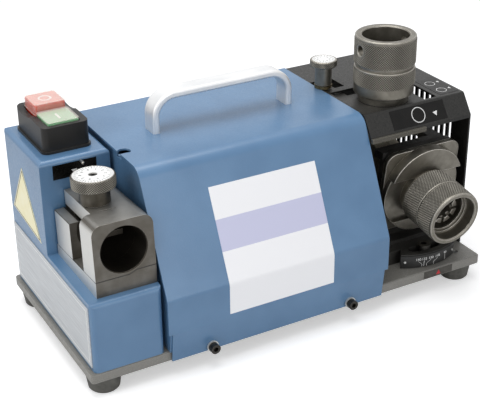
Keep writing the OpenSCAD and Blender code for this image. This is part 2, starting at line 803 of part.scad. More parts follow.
module bulkhead_right() {
    color("#2c2c2c") in_frame() difference() {
        union() {
            translate([bulkhead_right_x, 0, 0]) bulkhead(bulkhead_t);
            translate([bulkhead_right_x, shelf_y[0], plate_z - bulkhead_t])
                cube([shelf_x1 - bulkhead_right_x, shelf_y[1] - shelf_y[0], bulkhead_t]);
        }
        translate([bulkhead_right_x - cut, spindle_y, axis_z]) rotate([0, 90, 0])
            cylinder(d = shaft_d + 16, h = bulkhead_t + 2 * cut);
        for (spot = plate_screw_spots)
            translate([spot.x, spot.y, plate_z - bulkhead_t - cut])
                cylinder(d = plate_screw_d + 2 * run, h = bulkhead_t + 2 * cut);
        translate([knob_spot.x, knob_spot.y, plate_z - bulkhead_t - cut])
            cylinder(r = 8, h = bulkhead_t + 2 * cut);
    }
}

// ---------- top port ----------

plate_t = 6;
plate_z = guard_top - 10;
plate_top = plate_z + plate_t;
port_tube_r = port_bore_r + 5.5;
top_port = [pivot_x - 19.7, 84.7];
nose_r = nose_d / 2;
nose_bottom = plate_top - 28;
knob_spot = [guard_x0 + 5.5, 132];
spindle_r = 4.8;

module top_port_plate() {
    color("#4a4a48") in_frame() difference() {
        union() {
            translate([guard_x0 + 5, 50, plate_z]) cube([78, window_d - 6, plate_t]);
            translate([guard_x0 + 1.5, 100, plate_z]) cube([19, 46, plate_t]);
            translate([top_port.x, top_port.y, nose_bottom]) cylinder(r = port_tube_r, h = plate_top - nose_bottom);
        }
        translate([top_port.x, top_port.y, nose_bottom - cut]) cylinder(r = port_bore_r, h = 40);
        translate([knob_spot.x, knob_spot.y, plate_z - cut]) cylinder(r = spindle_r + fit, h = plate_t + 2 * cut);
        for (spot = plate_screw_spots)
            translate([spot.x, spot.y, plate_z - cut]) cylinder(d = plate_screw_d + 2 * run, h = plate_t - 1 + cut);
    }
}

module port_plate_screws() {
    color("#8a8a8a") in_frame() for (spot = plate_screw_spots)
        translate([spot.x, spot.y, plate_z - bulkhead_t]) rotate([180, 0, 0])
            socket_screw(plate_screw_d, bulkhead_t + plate_t - 1.5, 8.5, 4);
}

collar_h = 8;
knob_r = 13.9;
knob_rim_h = 7;
knob_top = plate_top + 35.7;
knob_face_t = 0.8;

module adjust_knob() {
    color("#8e8a82") in_frame() translate([knob_spot.x, knob_spot.y, 0]) difference() {
        rotate_extrude() polygon([
            [0, knob_top], [knob_r - 0.7, knob_top], [knob_r, knob_top - 0.7],
            [knob_r, knob_top - knob_rim_h + 0.7], [knob_r - 0.7, knob_top - knob_rim_h],
            [8.9, knob_top - knob_rim_h], [8.9, plate_top + collar_h + gap],
            [spindle_r, plate_top + collar_h + gap], [spindle_r, plate_z - 6], [0, plate_z - 6]
        ]);
        translate([0, 0, knob_top - knob_face_t]) cylinder(r = knob_r - 2 + run, h = 2);
    }
}

module adjust_knob_face() {
    color("white") in_frame() translate([knob_spot.x, knob_spot.y, knob_top - knob_face_t])
        cylinder(r = knob_r - 2, h = knob_face_t);
}

module adjust_collar() {
    flange_z = cover_top + gap;
    color("#b99a4e") in_frame() translate([knob_spot.x, knob_spot.y, 0]) rotate_extrude() polygon([
        [spindle_r + fit, plate_top], [5.8, plate_top], [5.8, flange_z],
        [9.4, flange_z], [9.4, plate_top + collar_h], [spindle_r + fit, plate_top + collar_h]
    ]);
}

// ---------- top chuck ----------

grip_top = plate_top + 36.8;
ring_z = grip_top + 2.8;
ring_top = plate_top + 69.7;
collet_r = 12;
seat_r = 16;
seat_h = 6;
collet_tail_r = 10;
chuck_bore_r = 24.3;
chuck_floor = plate_top + 26;
top_neck_r = 26.5;
top_neck_h = 8;
groove_r = 29;
top_spigot_r = 27.5;
top_spigot_out = ring_z + 9;

module in_top_chuck() {
    in_frame() translate([top_port.x, top_port.y, 0]) children();
}

module top_chuck_body() {
    rest = plate_top + gap;
    outer = top_ring_d / 2;
    color("#8b877d") in_top_chuck() rotate_extrude() polygon([
        [nose_r - 0.8, nose_bottom], [nose_r, nose_bottom + 0.8], [nose_r, rest], [top_neck_r, rest],
        [top_neck_r, rest + top_neck_h], [outer - 0.8, rest + top_neck_h], [outer, rest + top_neck_h + 0.8],
        [outer, grip_top - 0.6], [outer - 0.6, grip_top], [groove_r, grip_top], [groove_r, ring_z - gap],
        [top_spigot_r, ring_z - gap], [top_spigot_r, top_spigot_out], [chuck_bore_r, top_spigot_out],
        [chuck_bore_r, chuck_floor], [collet_r + fit, chuck_floor], [collet_r + fit, nose_bottom + seat_h],
        [seat_r + fit, nose_bottom]
    ]);
}

module top_chuck_ring() {
    outer = top_ring_d / 2;
    color("#8b877d") in_top_chuck() difference() {
        rotate_extrude() polygon([
            [top_spigot_r + fit, ring_z], [outer - 0.6, ring_z], [outer, ring_z + 0.6], [outer, ring_top - 0.8],
            [outer - 0.8, ring_top], [chuck_bore_r + 1, ring_top], [chuck_bore_r, ring_top - 1],
            [chuck_bore_r, top_spigot_out + gap], [top_spigot_r + fit, top_spigot_out + gap]
        ]);
        translate([0, 0, ring_top - 13.1]) rotate([0, 90, 0]) cylinder(r = 5, h = 80, center = true);
        for (side = [-1, 1])
            translate([side * (outer - 1), 0, ring_top - 13.1]) rotate([0, 90 * side, 0])
                cylinder(r1 = 4.9, r2 = 6.5, h = 1.6);
    }
}

// Split collet along Z: the flared gripping end down at z = 0, the tail at the top
module collet(length, tail) {
    bore_r = collet_bore_d / 2;
    slit = 1.2;
    difference() {
        rotate_extrude() polygon([
            [bore_r, 0.4], [seat_r - 0.4, 0.4], [collet_r, seat_h], [collet_r, length],
            [collet_tail_r, length], [collet_tail_r, length + tail], [bore_r, length + tail]
        ]);
        for (a = [0, 60, 120])
            rotate([0, 0, a]) translate([-seat_r - cut, -slit / 2, -cut])
                cube([2 * seat_r + 2 * cut, slit, length * 0.8]);
    }
}

module top_collet() {
    color("#6b6862") in_top_chuck() translate([0, 0, nose_bottom]) collet(50, 8);
}

// ---------- swivel and front port ----------

port_tilt_up = 90 + port_tilt;
plate_in = 24.6;
plate_out = 29.7;
tube_in = 17;
plate_u = [-45, 47.5];
plate_v = [-46, 48.3];
hood_t = 8;
hood_z = axis_z + plate_v[1] - 5.2;
hood_y = [-26, -11.7];
arm_u = [24, 38];
arm_y = 10;
sector_z0 = deck + gap;
sector_z1 = deck + swivel_t;
sector_x = [-46, 40];
scale_from = -33;
scale_to = 29;
scale_t = 1;
foot_pad_h = 4;

// Port axes: origin on the swivel's axis at spindle height, Z along the chuck to the front
module in_port() {
    in_frame() translate([pivot_x, pivot_y, axis_z]) rotate([port_tilt_up, 0, 0]) children();
}

module swivel_plan() {
    intersection() {
        union() {
            intersection() {
                circle(swivel_r);
                pie(swivel_r, -90 + scale_from, -90 + scale_to);
            }
            translate([sector_x[0], -44]) square([sector_x[1] - sector_x[0], 56]);
        }
        translate([-80, -80]) square([80 + sector_x[1], 160]);
    }
}

// Upright plate with round corners, all round narrower by an inset, down to a low edge
module port_outline(inset, low) {
    r = 13;
    u = plate_u + [inset, -inset];
    top = plate_v[1] - inset;
    round_outline([[u[0], low], [u[1], low], [u[1], top], [u[0], top]], [r, r, r, r]);
}

module swivel_bracket() {
    groove_w = lock_screw_d + 2;
    groove_from = lock_angle - 14;
    groove_to = lock_angle + 17;
    color("#333331") {
        in_frame() translate([pivot_x, pivot_y, 0]) difference() {
            union() {
                translate([0, 0, sector_z0]) linear_extrude(sector_z1 - sector_z0) swivel_plan();
                translate([plate_u[0] - 1, -31, sector_z1]) cube([plate_u[1] - plate_u[0] - 6.5, 24, foot_pad_h]);
            }
            translate([0, 0, -cut]) cylinder(d = pivot_bolt_d + 2 * fit, h = 60);
            translate([0, 0, -cut]) linear_extrude(60) {
                difference() {
                    circle(lock_r + groove_w / 2);
                    circle(lock_r - groove_w / 2);
                    rotate(groove_to) translate([-80, 0]) square([160, 80]);
                    rotate(groove_from) translate([-80, -80]) square([160, 80]);
                    translate([-80, 0]) square([160, 80]);
                }
                for (a = [groove_from, groove_to]) rotate(a) translate([lock_r, 0]) circle(groove_w / 2);
            }
        }
        difference() {
            in_port() difference() {
                union() {
                    translate([0, 0, tube_in]) linear_extrude(plate_in - tube_in) port_outline(0.5, -75);
                    translate([0, 0, tube_in]) cylinder(r = port_tube_r, h = 2);
                }
                translate([0, 0, tube_in - cut]) cylinder(r = port_bore_r, h = 30);
            }
            in_frame() translate([0, -50, -80]) cube([base_l + 50, base_w, 80 + sector_z1]);
        }
        in_frame() translate([pivot_x, pivot_y, hood_z - hood_t]) {
            translate([plate_u[0] + 1, hood_y[0], 0]) cube([arm_u[1] - plate_u[0] - 1, hood_y[1] - hood_y[0], hood_t]);
            translate([arm_u[0], hood_y[0], 0]) cube([arm_u[1] - arm_u[0], arm_y - hood_y[0], hood_t]);
        }
    }
}

module port_plate() {
    color("#4a4a46") in_port() difference() {
        translate([0, 0, plate_in]) linear_extrude(plate_out - plate_in) port_outline(0, plate_v[0]);
        translate([0, 0, plate_in - cut]) cylinder(r = port_bore_r, h = 20);
    }
}

module angle_scale() {
    margin = 1.2;
    color("#1c1c1c") in_frame() difference() {
        translate([pivot_x, pivot_y, sector_z0 + margin]) linear_extrude(sector_z1 - sector_z0 - 2 * margin)
            difference() {
                intersection() {
                    circle(swivel_r + scale_t);
                    pie(swivel_r, -90 + scale_from, -90 + scale_to);
                }
                circle(swivel_r);
            }
        at_scale_screws() cylinder(d = scale_screw_d + 2 * run, h = 4, center = true);
    }
}

scale_screw_d = 2.4;

// Both places of the scale's screws: origin on the sector's arc face, Z outwards
module at_scale_screws() {
    translate([pivot_x, pivot_y, (sector_z0 + sector_z1) / 2])
        for (a = [-90 + scale_from + 4, -90 + scale_to - 4])
            rotate([0, 90, a]) translate([0, 0, swivel_r]) children();
}

module scale_screws() {
    color("#d8d8d4") in_frame() at_scale_screws() cylinder(d = scale_screw_d, h = scale_t + 1);
}

module pivot_bolt() {
    color("#7a7a7a") in_frame() translate([pivot_x, pivot_y, 0]) rotate([180, 0, 0])
        socket_screw(pivot_bolt_d, sector_z1 - 1, 20, 8);
}

module lock_screw() {
    head_d = 14;
    color("#4a4a4a") in_frame() translate([lock_spot.x, lock_spot.y, sector_z1 + gap])
        socket_screw(lock_screw_d, sector_z1 + gap - 1, head_d, 5);
}

// ---------- front chuck ----------

flange_in = plate_out + gap;
flange_mid = flange_in + 6;
flange_out = flange_in + 11;
neck_r = 26;
grip_in = 45;
grip_out = 70.4;
sleeve_in = 71;
spigot_r = 27;
spigot_out = 77;
tube_r = 15;

// Disc with a channel milled across its face: the raised part over the channel is an eccentric lobe
module cam_flange() {
    channel = [-29.5, 21.5];
    lobe_spot = [1.5, 5.5];
    color("#8b877d") in_port() difference() {
        union() {
            translate([0, 0, flange_in]) cylinder(d = flange_d, h = flange_out - flange_in);
            intersection() {
                translate([lobe_spot.x, lobe_spot.y, flange_in]) cylinder(d = flange_d - 1, h = flange_out - flange_in);
                translate([-flange_d, channel[1], flange_in]) cube([2 * flange_d, flange_d, 20]);
            }
        }
        translate([-flange_d, channel[0], flange_mid]) cube([2 * flange_d, channel[1] - channel[0], 20]);
        translate([0, 0, flange_in - cut]) cylinder(r = nose_r, h = 20);
        translate([0, 0, flange_mid]) cylinder(r = neck_r, h = 20);
    }
}

module chuck_body() {
    outer = sleeve_d / 2;
    color("#8b877d") in_port() rotate_extrude() polygon([
        [seat_r + fit, tube_in], [nose_r - 0.8, tube_in], [nose_r, tube_in + 0.8], [nose_r, flange_mid],
        [neck_r, flange_mid], [neck_r, grip_in], [outer - 0.8, grip_in], [outer, grip_in + 0.8],
        [outer, grip_out - 0.3], [outer - 0.3, grip_out], [spigot_r, grip_out], [spigot_r, spigot_out],
        [spigot_r - 3, spigot_out], [spigot_r - 3, 62], [tube_r + fit, 62], [tube_r + fit, 48],
        [collet_r + fit, 48], [collet_r + fit, tube_in + seat_h]
    ]);
}

module chuck_sleeve() {
    outer = sleeve_d / 2;
    color("#8b877d") in_port() rotate_extrude() polygon([
        [spigot_r + fit, sleeve_in], [outer - 0.3, sleeve_in], [outer, sleeve_in + 0.3],
        [outer, chuck_reach - 0.8], [outer - 0.8, chuck_reach], [outer - 4.2, chuck_reach],
        [outer - 5.2, chuck_reach - 1], [outer - 5.2, 82], [outer - 7.2, 82], [outer - 7.2, 79.5],
        [21, 79.5], [21, spigot_out + gap], [spigot_r + fit, spigot_out + gap]
    ]);
}

module draw_tube() {
    face = 77.5;
    notches = 8;
    color("#9a968c") in_port() difference() {
        translate([0, 0, 50]) ring(tube_r, collet_tail_r, face - 50);
        for (i = [0:notches / 2 - 1])
            rotate([0, 0, 180 * i / (notches / 2)]) translate([-30, -1.8, face - 4]) cube([60, 3.6, 10]);
    }
}

module front_collet() {
    color("#6b6862") in_port() translate([0, 0, tube_in]) collet(33, 10);
}

// ---------- motor and wheel ----------

spindle_y = 108.7;
motor_x0 = cover_x0 + 18;
motor_x1 = bulkhead_right_x - 18;
bell_l = 15;
stator_r = 38;
bearing_r = 17.5;
bearing_w = 11;
motor_bolt_d = 6;
motor_bolt_spots = [
    for (x = [motor_x0 + 50, motor_x1 - 50], side = [-1, 1]) [x, spindle_y + side * 34]
];
shaft_r = shaft_d / 2;
wheel_x0 = pivot_x - 28;
wheel_r = wheel_d / 2;
wheel_x1 = wheel_x0 + wheel_w;
wheel_recess = 10;

// Spindle axes: Z along the spindle to the right, measured from the machine's left end
module in_spindle(x) {
    in_frame() translate([x, spindle_y, axis_z]) rotate([0, 90, 0]) children();
}

module motor_body() {
    length = motor_x1 - motor_x0 - 2 * bell_l;
    color("#6a6e70") in_spindle(motor_x0 + bell_l) ring(motor_d / 2, stator_r, length);
}

module end_bells() {
    r = motor_d / 2;
    color("#9a9c9c") for (side = [0, 1])
        in_spindle(side == 0 ? motor_x0 : motor_x1) mirror([0, 0, side]) rotate_extrude() polygon([
            [shaft_r + 2, 0], [r - 12, 0], [r, 10], [r, bell_l], [r - 6, bell_l], [r - 6, 5],
            [bearing_r + 4, 5], [bearing_r + 4, bell_l - 1], [bearing_r, bell_l - 1],
            [bearing_r, bell_l - 1 - bearing_w], [shaft_r + 2, bell_l - 1 - bearing_w]
        ]);
}

module ball_bearings() {
    color("silver") for (x = [motor_x0 + bell_l - 1 - bearing_w, motor_x1 - bell_l + 1])
        in_spindle(x) ring(bearing_r, shaft_r + run, bearing_w);
}

module motor_foot() {
    length = motor_x1 - motor_x0 - 60;
    color("#5c6062") in_frame() translate([motor_x0 + 30, spindle_y, 0]) difference() {
        along_x(length) polygon([[-46, deck], [46, deck], [46, deck + 12], [36, deck + 42], [-36, deck + 42], [-46, deck + 12]]);
        translate([-cut, 0, axis_z]) rotate([0, 90, 0]) cylinder(d = motor_d, h = length + 2 * cut);
        for (spot = motor_bolt_spots)
            translate([spot.x - motor_x0 - 30, spot.y - spindle_y, deck - cut])
                cylinder(d = motor_bolt_d + 2 * run, h = 12);
    }
}

module motor_screws() {
    color("#8a8a8a") in_frame() for (spot = motor_bolt_spots)
        translate([spot.x, spot.y, 0]) rotate([180, 0, 0]) socket_screw(motor_bolt_d, base_t + 10, 10, 6);
}

module rotor_and_shaft() {
    color("#a8a8a8") {
        in_spindle(motor_x0 - 4) cylinder(r = shaft_r, h = wheel_x1 - motor_x0 + 2);
        in_spindle(motor_x0 + 30) cylinder(r = stator_r - 0.6, h = motor_x1 - motor_x0 - 60);
    }
}

module wheel_hub() {
    color("#8f8f8f") in_spindle(wheel_x0 - 24) difference() {
        union() {
            cylinder(r = shaft_r + 5, h = 24);
            translate([0, 0, 17]) cylinder(r = 22, h = 7);
        }
        translate([0, 0, -cut]) cylinder(r = shaft_r, h = 26);
    }
}

module grinding_wheel() {
    rim = 18;
    tip_r = wheel_r - (wheel_w - rim) * 0.6;
    color("#b9b2a2") in_spindle(wheel_x0) rotate_extrude() polygon([
        [shaft_r, 0], [wheel_r, 0], [wheel_r, rim], [tip_r, wheel_w], [19, wheel_w],
        [19, wheel_w - wheel_recess], [shaft_r, wheel_w - wheel_recess]
    ]);
}

module wheel_nut() {
    color("#7c7c7c") in_spindle(wheel_x1 - wheel_recess) difference() {
        union() {
            cylinder(r = 15, h = 2.5);
            cylinder(r = 11.5, h = 8, $fn = 6);
        }
        translate([0, 0, -cut]) cylinder(r = shaft_r, h = 12);
    }
}

base_plate();
rubber_feet();
foot_screws();
left_housing();
data_plate();
pointer_pin();
run_capacitor();
mains_gland();
switch_frame();
switch_body();
stop_button();
start_button();
stop_spring();
start_spring();
wedge_base();
setting_block();
side_jaw();
station_screws();
web_dial();
web_dial_face();
dial_screw();
web_stop();
main_cover();
cover_screws();
cover_washers();
carry_handle();
handle_screws();
bulkhead_left();
bulkhead_right();
wheel_guard();
guard_lip();
guard_screws();
top_port_plate();
port_plate_screws();
adjust_knob();
adjust_knob_face();
adjust_collar();
top_chuck_body();
top_chuck_ring();
top_collet();
swivel_bracket();
angle_scale();
scale_screws();
pivot_bolt();
lock_screw();
port_plate();
chuck_body();
cam_flange();
chuck_sleeve();
draw_tube();
front_collet();
motor_body();
end_bells();
motor_foot();
motor_screws();
ball_bearings();
rotor_and_shaft();
wheel_hub();
grinding_wheel();
wheel_nut();
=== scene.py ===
"""Looks of a bench drill bit sharpener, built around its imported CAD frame."""

import math

import bmesh
import bpy
from mathutils import Matrix, Vector


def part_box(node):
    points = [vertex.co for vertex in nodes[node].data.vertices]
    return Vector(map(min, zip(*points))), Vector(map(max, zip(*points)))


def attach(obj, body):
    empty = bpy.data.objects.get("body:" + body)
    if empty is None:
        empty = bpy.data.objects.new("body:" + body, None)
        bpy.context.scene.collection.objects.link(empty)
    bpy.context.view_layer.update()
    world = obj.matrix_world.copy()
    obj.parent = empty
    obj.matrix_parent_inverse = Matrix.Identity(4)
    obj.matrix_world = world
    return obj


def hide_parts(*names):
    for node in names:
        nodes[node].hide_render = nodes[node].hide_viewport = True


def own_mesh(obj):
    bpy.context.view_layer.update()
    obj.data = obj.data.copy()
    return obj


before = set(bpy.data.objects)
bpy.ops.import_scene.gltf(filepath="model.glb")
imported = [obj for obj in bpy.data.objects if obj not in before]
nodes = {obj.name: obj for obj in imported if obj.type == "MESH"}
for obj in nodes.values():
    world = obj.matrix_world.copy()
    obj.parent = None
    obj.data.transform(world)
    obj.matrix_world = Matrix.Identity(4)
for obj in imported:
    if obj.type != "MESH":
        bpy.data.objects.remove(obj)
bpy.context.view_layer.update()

# ---------- camera ----------
# Stands before the machine's left end, above it, and looks along it to the wheel guard.
# The lens is long, so the far end stays nearly as large as the near one.

azimuth, elevation, roll = (math.radians(angle) for angle in (-28.581, 27.453, -0.757))
backward = Vector((
    math.sin(azimuth) * math.cos(elevation), -math.cos(azimuth) * math.cos(elevation), math.sin(elevation)
))
level = backward.cross(Vector((0, 0, -1))).normalized()
upright = level.cross(-backward)
aside = level * math.cos(roll) + upright * math.sin(roll)
above = upright * math.cos(roll) - level * math.sin(roll)
stand = Vector((-0.5296, -0.9443, 0.6593))
lens = bpy.data.cameras.new("camera")
lens.lens = 88.46
lens.sensor_width = 36
lens.clip_start = 0.05
camera = bpy.data.objects.new("camera", lens)
camera.matrix_world = Matrix.Translation(stand) @ Matrix((aside, above, backward)).transposed().to_4x4()
bpy.context.scene.collection.objects.link(camera)
bpy.context.scene.camera = camera
bpy.context.scene.view_settings.view_transform = "Standard"

# ---------- studio ----------
# White sweep of paper under soft boxes: a large one at the left, one overhead, a weak one in front.
# The paper and the world are white to the camera and to mirrors, and keep the machine's shadow.


def colour(code):
    """Linear RGBA of an sRGB hex value."""
    parts = [int(code[i:i + 2], 16) / 255 for i in (1, 3, 5)]
    return [p / 12.92 if p <= 0.04045 else ((p + 0.055) / 1.055) ** 2.4 for p in parts] + [1]


def add(tree, kind, settings=None, **sockets):
    """Adds a node with its settings, and sets or links its sockets: Base_Color=..., or _0=... by place."""
    node = tree.nodes.new(kind)
    for name, value in (settings or {}).items():
        setattr(node, name, value)
    for name, value in sockets.items():
        socket = node.inputs[int(name[1:])] if name[0] == "_" else node.inputs[name.replace("_", " ")]
        if isinstance(value, bpy.types.Node):
            value = value.outputs[0]
        if isinstance(value, bpy.types.NodeSocket):
            tree.links.new(value, socket)
        else:
            socket.default_value = value
    return node


def soft_box(name, size, power, place):
    """A rectangular lamp, sized in metres, that faces the machine."""
    machine = Vector((0, 0, 0.1))
    lamp = bpy.data.lights.new(name, "AREA")
    lamp.shape = "RECTANGLE"
    lamp.size, lamp.size_y = size
    lamp.energy = power
    holder = bpy.data.objects.new(name, lamp)
    turn = (machine - Vector(place)).to_track_quat("-Z", "Y").to_matrix().to_4x4()
    holder.matrix_world = Matrix.Translation(place) @ turn
    bpy.context.scene.collection.objects.link(holder)


soft_box("left_box", (1.1, 0.9), 4.8, (-1.25, -0.15, 0.75))
soft_box("top_box", (1.3, 0.9), 13.6, (-0.1, 0.1, 1.45))
soft_box("front_box", (0.9, 0.7), 4.5, (0.1, -1.6, 0.6))

world = bpy.data.worlds.new("studio")
bpy.context.scene.world = world
world.use_nodes = True
tree = world.node_tree
tree.nodes.clear()
ray = add(tree, "ShaderNodeLightPath")
mirror = add(tree, "ShaderNodeMath", {"operation": "MAXIMUM"},
             _0=ray.outputs["Is Glossy Ray"], _1=ray.outputs["Is Transmission Ray"])
shown = add(tree, "ShaderNodeMath", {"operation": "MAXIMUM"}, _0=ray.outputs["Is Camera Ray"], _1=mirror)
ambient = add(tree, "ShaderNodeBackground", Color=colour("#f4f6fa"), Strength=0.42)
white = add(tree, "ShaderNodeBackground", Color=(1, 1, 1, 1), Strength=1.0)
blend = add(tree, "ShaderNodeMixShader", _0=shown, _1=ambient, _2=white)
add(tree, "ShaderNodeOutputWorld", Surface=blend)


def new_material(name):
    """A fresh material with one Principled shader in its node tree."""
    material = bpy.data.materials.new(name)
    material.use_nodes = True
    tree = material.node_tree
    tree.nodes.clear()
    shader = add(tree, "ShaderNodeBsdfPrincipled")
    add(tree, "ShaderNodeOutputMaterial", Surface=shader)
    return material, tree, shader


# White studio paper: matt, brightened for the camera so that only the shadow is seen.
paper, tree, shader = new_material("white_studio_paper")
shader.inputs["Base Color"].default_value = colour("#f2f2f2")
shader.inputs["Roughness"].default_value = 0.9
ray = add(tree, "ShaderNodeLightPath")
lift = add(tree, "ShaderNodeEmission", Color=(1, 1, 1, 1), Strength=0.42)
none = add(tree, "ShaderNodeEmission", Color=(0, 0, 0, 1), Strength=0.0)
glow = add(tree, "ShaderNodeMixShader", _0=ray.outputs["Is Camera Ray"], _1=none, _2=lift)
total = add(tree, "ShaderNodeAddShader", _0=shader, _1=glow)
tree.links.new(total.outputs[0], next(n for n in tree.nodes if n.type == "OUTPUT_MATERIAL").inputs["Surface"])

reach = 6
sweep = bpy.data.meshes.new("studio_floor")
sweep.from_pydata(
    [(-reach, -reach, 0), (reach, -reach, 0), (reach, reach, 0), (-reach, reach, 0)], [], [(0, 1, 2, 3)]
)
sweep.materials.append(paper)
floor = bpy.data.objects.new("studio_floor", sweep)
bpy.context.scene.collection.objects.link(floor)

# ---------- base plate ----------
# Ground cast-iron plate, 10.5 mm thick, in grey hammered enamel. Everything is bolted to it.
# A small dark label with a red pointer on its front edge reads against the swivel's angle scale.

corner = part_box("base_plate")[0]


def at(x, y, z):
    """Row-frame point in metres of a place in millimetres from the base plate's lower front left corner."""
    return corner + Vector((x, y, z)) / 1000


def grain(tree, size_mm, detail=2.0, stretch=(1, 1, 1), **noise):
    """Noise over the Object coordinates, with cells of a real size."""
    where = add(tree, "ShaderNodeTexCoord").outputs["Object"]
    mapped = add(tree, "ShaderNodeMapping", Vector=where, Scale=stretch)
    return add(tree, "ShaderNodeTexNoise", Vector=mapped, Scale=1000 / size_mm, Detail=detail, **noise)


def relief(tree, shader, height, depth_mm, edge_mm=0.4):
    """Bumps a shader with a height from 0 to 1 that stands for a real depth, over softly rounded edges."""
    eased = add(tree, "ShaderNodeBevel", {"samples": 6}, Radius=edge_mm / 1000)
    bump = add(tree, "ShaderNodeBump", Height=height, Distance=depth_mm / 1000, Strength=1.0, Normal=eased)
    tree.links.new(bump.outputs[0], shader.inputs["Normal"])
    return eased


def shades(tree, shader, factor, dark, light, low=0.35, high=0.65, socket="Base Color"):
    """Drives a socket between two values, by a factor that mostly lies between low and high."""
    part = add(tree, "ShaderNodeMapRange", Value=factor, From_Min=low, From_Max=high)
    if isinstance(dark, str):
        mix = add(tree, "ShaderNodeMix", {"data_type": "RGBA"}, _0=part, _6=colour(dark), _7=colour(light))
        tree.links.new(mix.outputs[2], shader.inputs[socket])
    else:
        part.inputs["To Min"].default_value = dark
        part.inputs["To Max"].default_value = light
        tree.links.new(part.outputs[0], shader.inputs[socket])


def worn(tree, shader, eased, bright, most=0.8):
    """Lays a brighter colour along outer edges, where the rounded normal leaves the flat one: edge wear with a
    painted highlight.
    """
    shape = add(tree, "ShaderNodeNewGeometry")
    fit = add(tree, "ShaderNodeVectorMath", {"operation": "DOT_PRODUCT"},
              _0=eased, _1=shape.outputs["True Normal"])
    edge = add(tree, "ShaderNodeMapRange", Value=fit.outputs["Value"],
               From_Min=0.985, From_Max=0.9, To_Min=0.0, To_Max=most)
    near = add(tree, "ShaderNodeAmbientOcclusion", {"samples": 4, "only_local": True}, Distance=0.002)
    outer = add(tree, "ShaderNodeMapRange", Value=near.outputs["AO"], From_Min=0.7, From_Max=0.95)
    mask = add(tree, "ShaderNodeMath", {"operation": "MULTIPLY"}, _0=edge, _1=outer)
    body = shader.inputs["Base Color"].links[0].from_socket
    # The brighter colour stands for edge wear and a painted highlight along the rounded edges.
    mix = add(tree, "ShaderNodeMix", {"data_type": "RGBA"}, _0=mask, _6=body, _7=colour(bright))
    tree.links.new(mix.outputs[2], shader.inputs["Base Color"])


def finish(material, *names):
    """Gives CAD nodes a material."""
    for name in names:
        slots = nodes[name].data.materials
        slots.clear()
        slots.append(material)


# Hammered enamel: shallow dimples some 3 mm wide, with a silky grey gloss on their rims.
hammered, tree, shader = new_material("grey_hammered_enamel")
dimples = grain(tree, 3.2, detail=1.0)
speckle = grain(tree, 0.7, detail=3.0)
shades(tree, shader, speckle.outputs[0], "#75736e", "#8f8d87")
shades(tree, shader, dimples.outputs[0], 0.34, 0.52, socket="Roughness")
# Paler along the plate's rounded edges: a painted highlight, with edge wear.
worn(tree, shader, relief(tree, shader, dimples.outputs[0], 0.22, 0.8), "#a3a19b")
finish(hammered, "base_plate")


def prism(shape, outline, low, high, place, hole=None):
    """Adds a plate between two heights to a bmesh: an outline in millimetres, with or without a hole."""
    rings = [
        [[shape.verts.new(place @ Vector((x, y, z))) for x, y in line] for z in (low, high)]
        for line in ([outline] if hole is None else [outline, hole])
    ]
    for bottom, top in rings:
        for i in range(len(bottom)):
            k = (i + 1) % len(bottom)
            shape.faces.new((bottom[i], bottom[k], top[k], top[i]))
    for side in (0, 1):
        if hole is None:
            shape.faces.new(rings[0][side])
        else:
            outer, inner = rings[0][side], rings[1][side]
            for i in range(len(outer)):
                k = (i + 1) % len(outer)
                shape.faces.new((outer[i], outer[k], inner[k], inner[i]))


def finished(name, shape, material, body):
    """Turns a bmesh that is already in place into a piece that rides on a body."""
    bmesh.ops.recalc_face_normals(shape, faces=shape.faces)
    mesh = bpy.data.meshes.new(name)
    shape.to_mesh(mesh)
    shape.free()
    mesh.materials.append(material)
    piece = bpy.data.objects.new(name, mesh)
    bpy.context.scene.collection.objects.link(piece)
    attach(piece, body)


def plate(name, outline, low, high, face, material, body, hole=None):
    """One film or print that lies on a face, as a piece of its own."""
    shape = bmesh.new()
    prism(shape, outline, low, high, face, hole)
    finished(name, shape, material, body)


millimetres = Matrix.Scale(0.001, 4)


def flat(x, y, z, axis_x, axis_y):
    """Matrix that lays a drawing in millimetres on a face: its corner, and where its X and Y run."""
    right, up = Vector(axis_x).normalized(), Vector(axis_y).normalized()
    turn = Matrix((right, up, right.cross(up))).transposed().to_4x4()
    return Matrix.Translation(at(x, y, z)) @ turn @ millimetres


def box_outline(x0, x1, y0, y1):
    return [(x0, y0), (x1, y0), (x1, y1), (x0, y1)]


# Glossy black vinyl: smooth, with a faint unevenness of the film.
vinyl, tree, shader = new_material("glossy_black_vinyl")
shades(tree, shader, grain(tree, 9.0).outputs[0], "#090908", "#11100f")
shades(tree, shader, grain(tree, 6.0).outputs[0], 0.2, 0.3, socket="Roughness")
shader.inputs["Specular IOR Level"].default_value = 0.2

# Smoke-grey film of the pointer's label: thin enough for the enamel's dimples to stay.
smoked, tree, shader = new_material("smoke_grey_film")
shades(tree, shader, grain(tree, 3.2, detail=1.0).outputs[0], "#3d3a35", "#4a4741")
shader.inputs["Roughness"].default_value = 0.4

# Screen-printing inks on labels: slightly matt, with uneven cover.
inks = {}
for tone, dark, light in (
    ("white", "#dcdcda", "#f0f0ee"), ("red", "#b3242b", "#cf3138"), ("black", "#141413", "#232221")
):
    inks[tone], tree, shader = new_material(tone + "_screen_ink")
    shades(tree, shader, grain(tree, 0.8).outputs[0], dark, light)
    shader.inputs["Roughness"].default_value = 0.45

stuck = -0.05  # every film's back lies this far inside the sheet below, so no gap shows
edge_face = flat(376.5, 0, 1.0, (1, 0, 0), (0, 0, 1))
plate("pointer_label", box_outline(0, 37, 0, 8.5), stuck, 0.12, edge_face, smoked, "frame")
plate("pointer_mark", [(16.0, 1.6), (21.8, 1.6), (18.9, 7.0)], 0.05, 0.2, edge_face,
      inks["red"], "frame")

# ---------- feet ----------
# Four round feet under the corners of the plate, moulded in dark grey rubber with a dull skin.
# Each is held by a zinc-plated socket screw that is sunk in its underside.

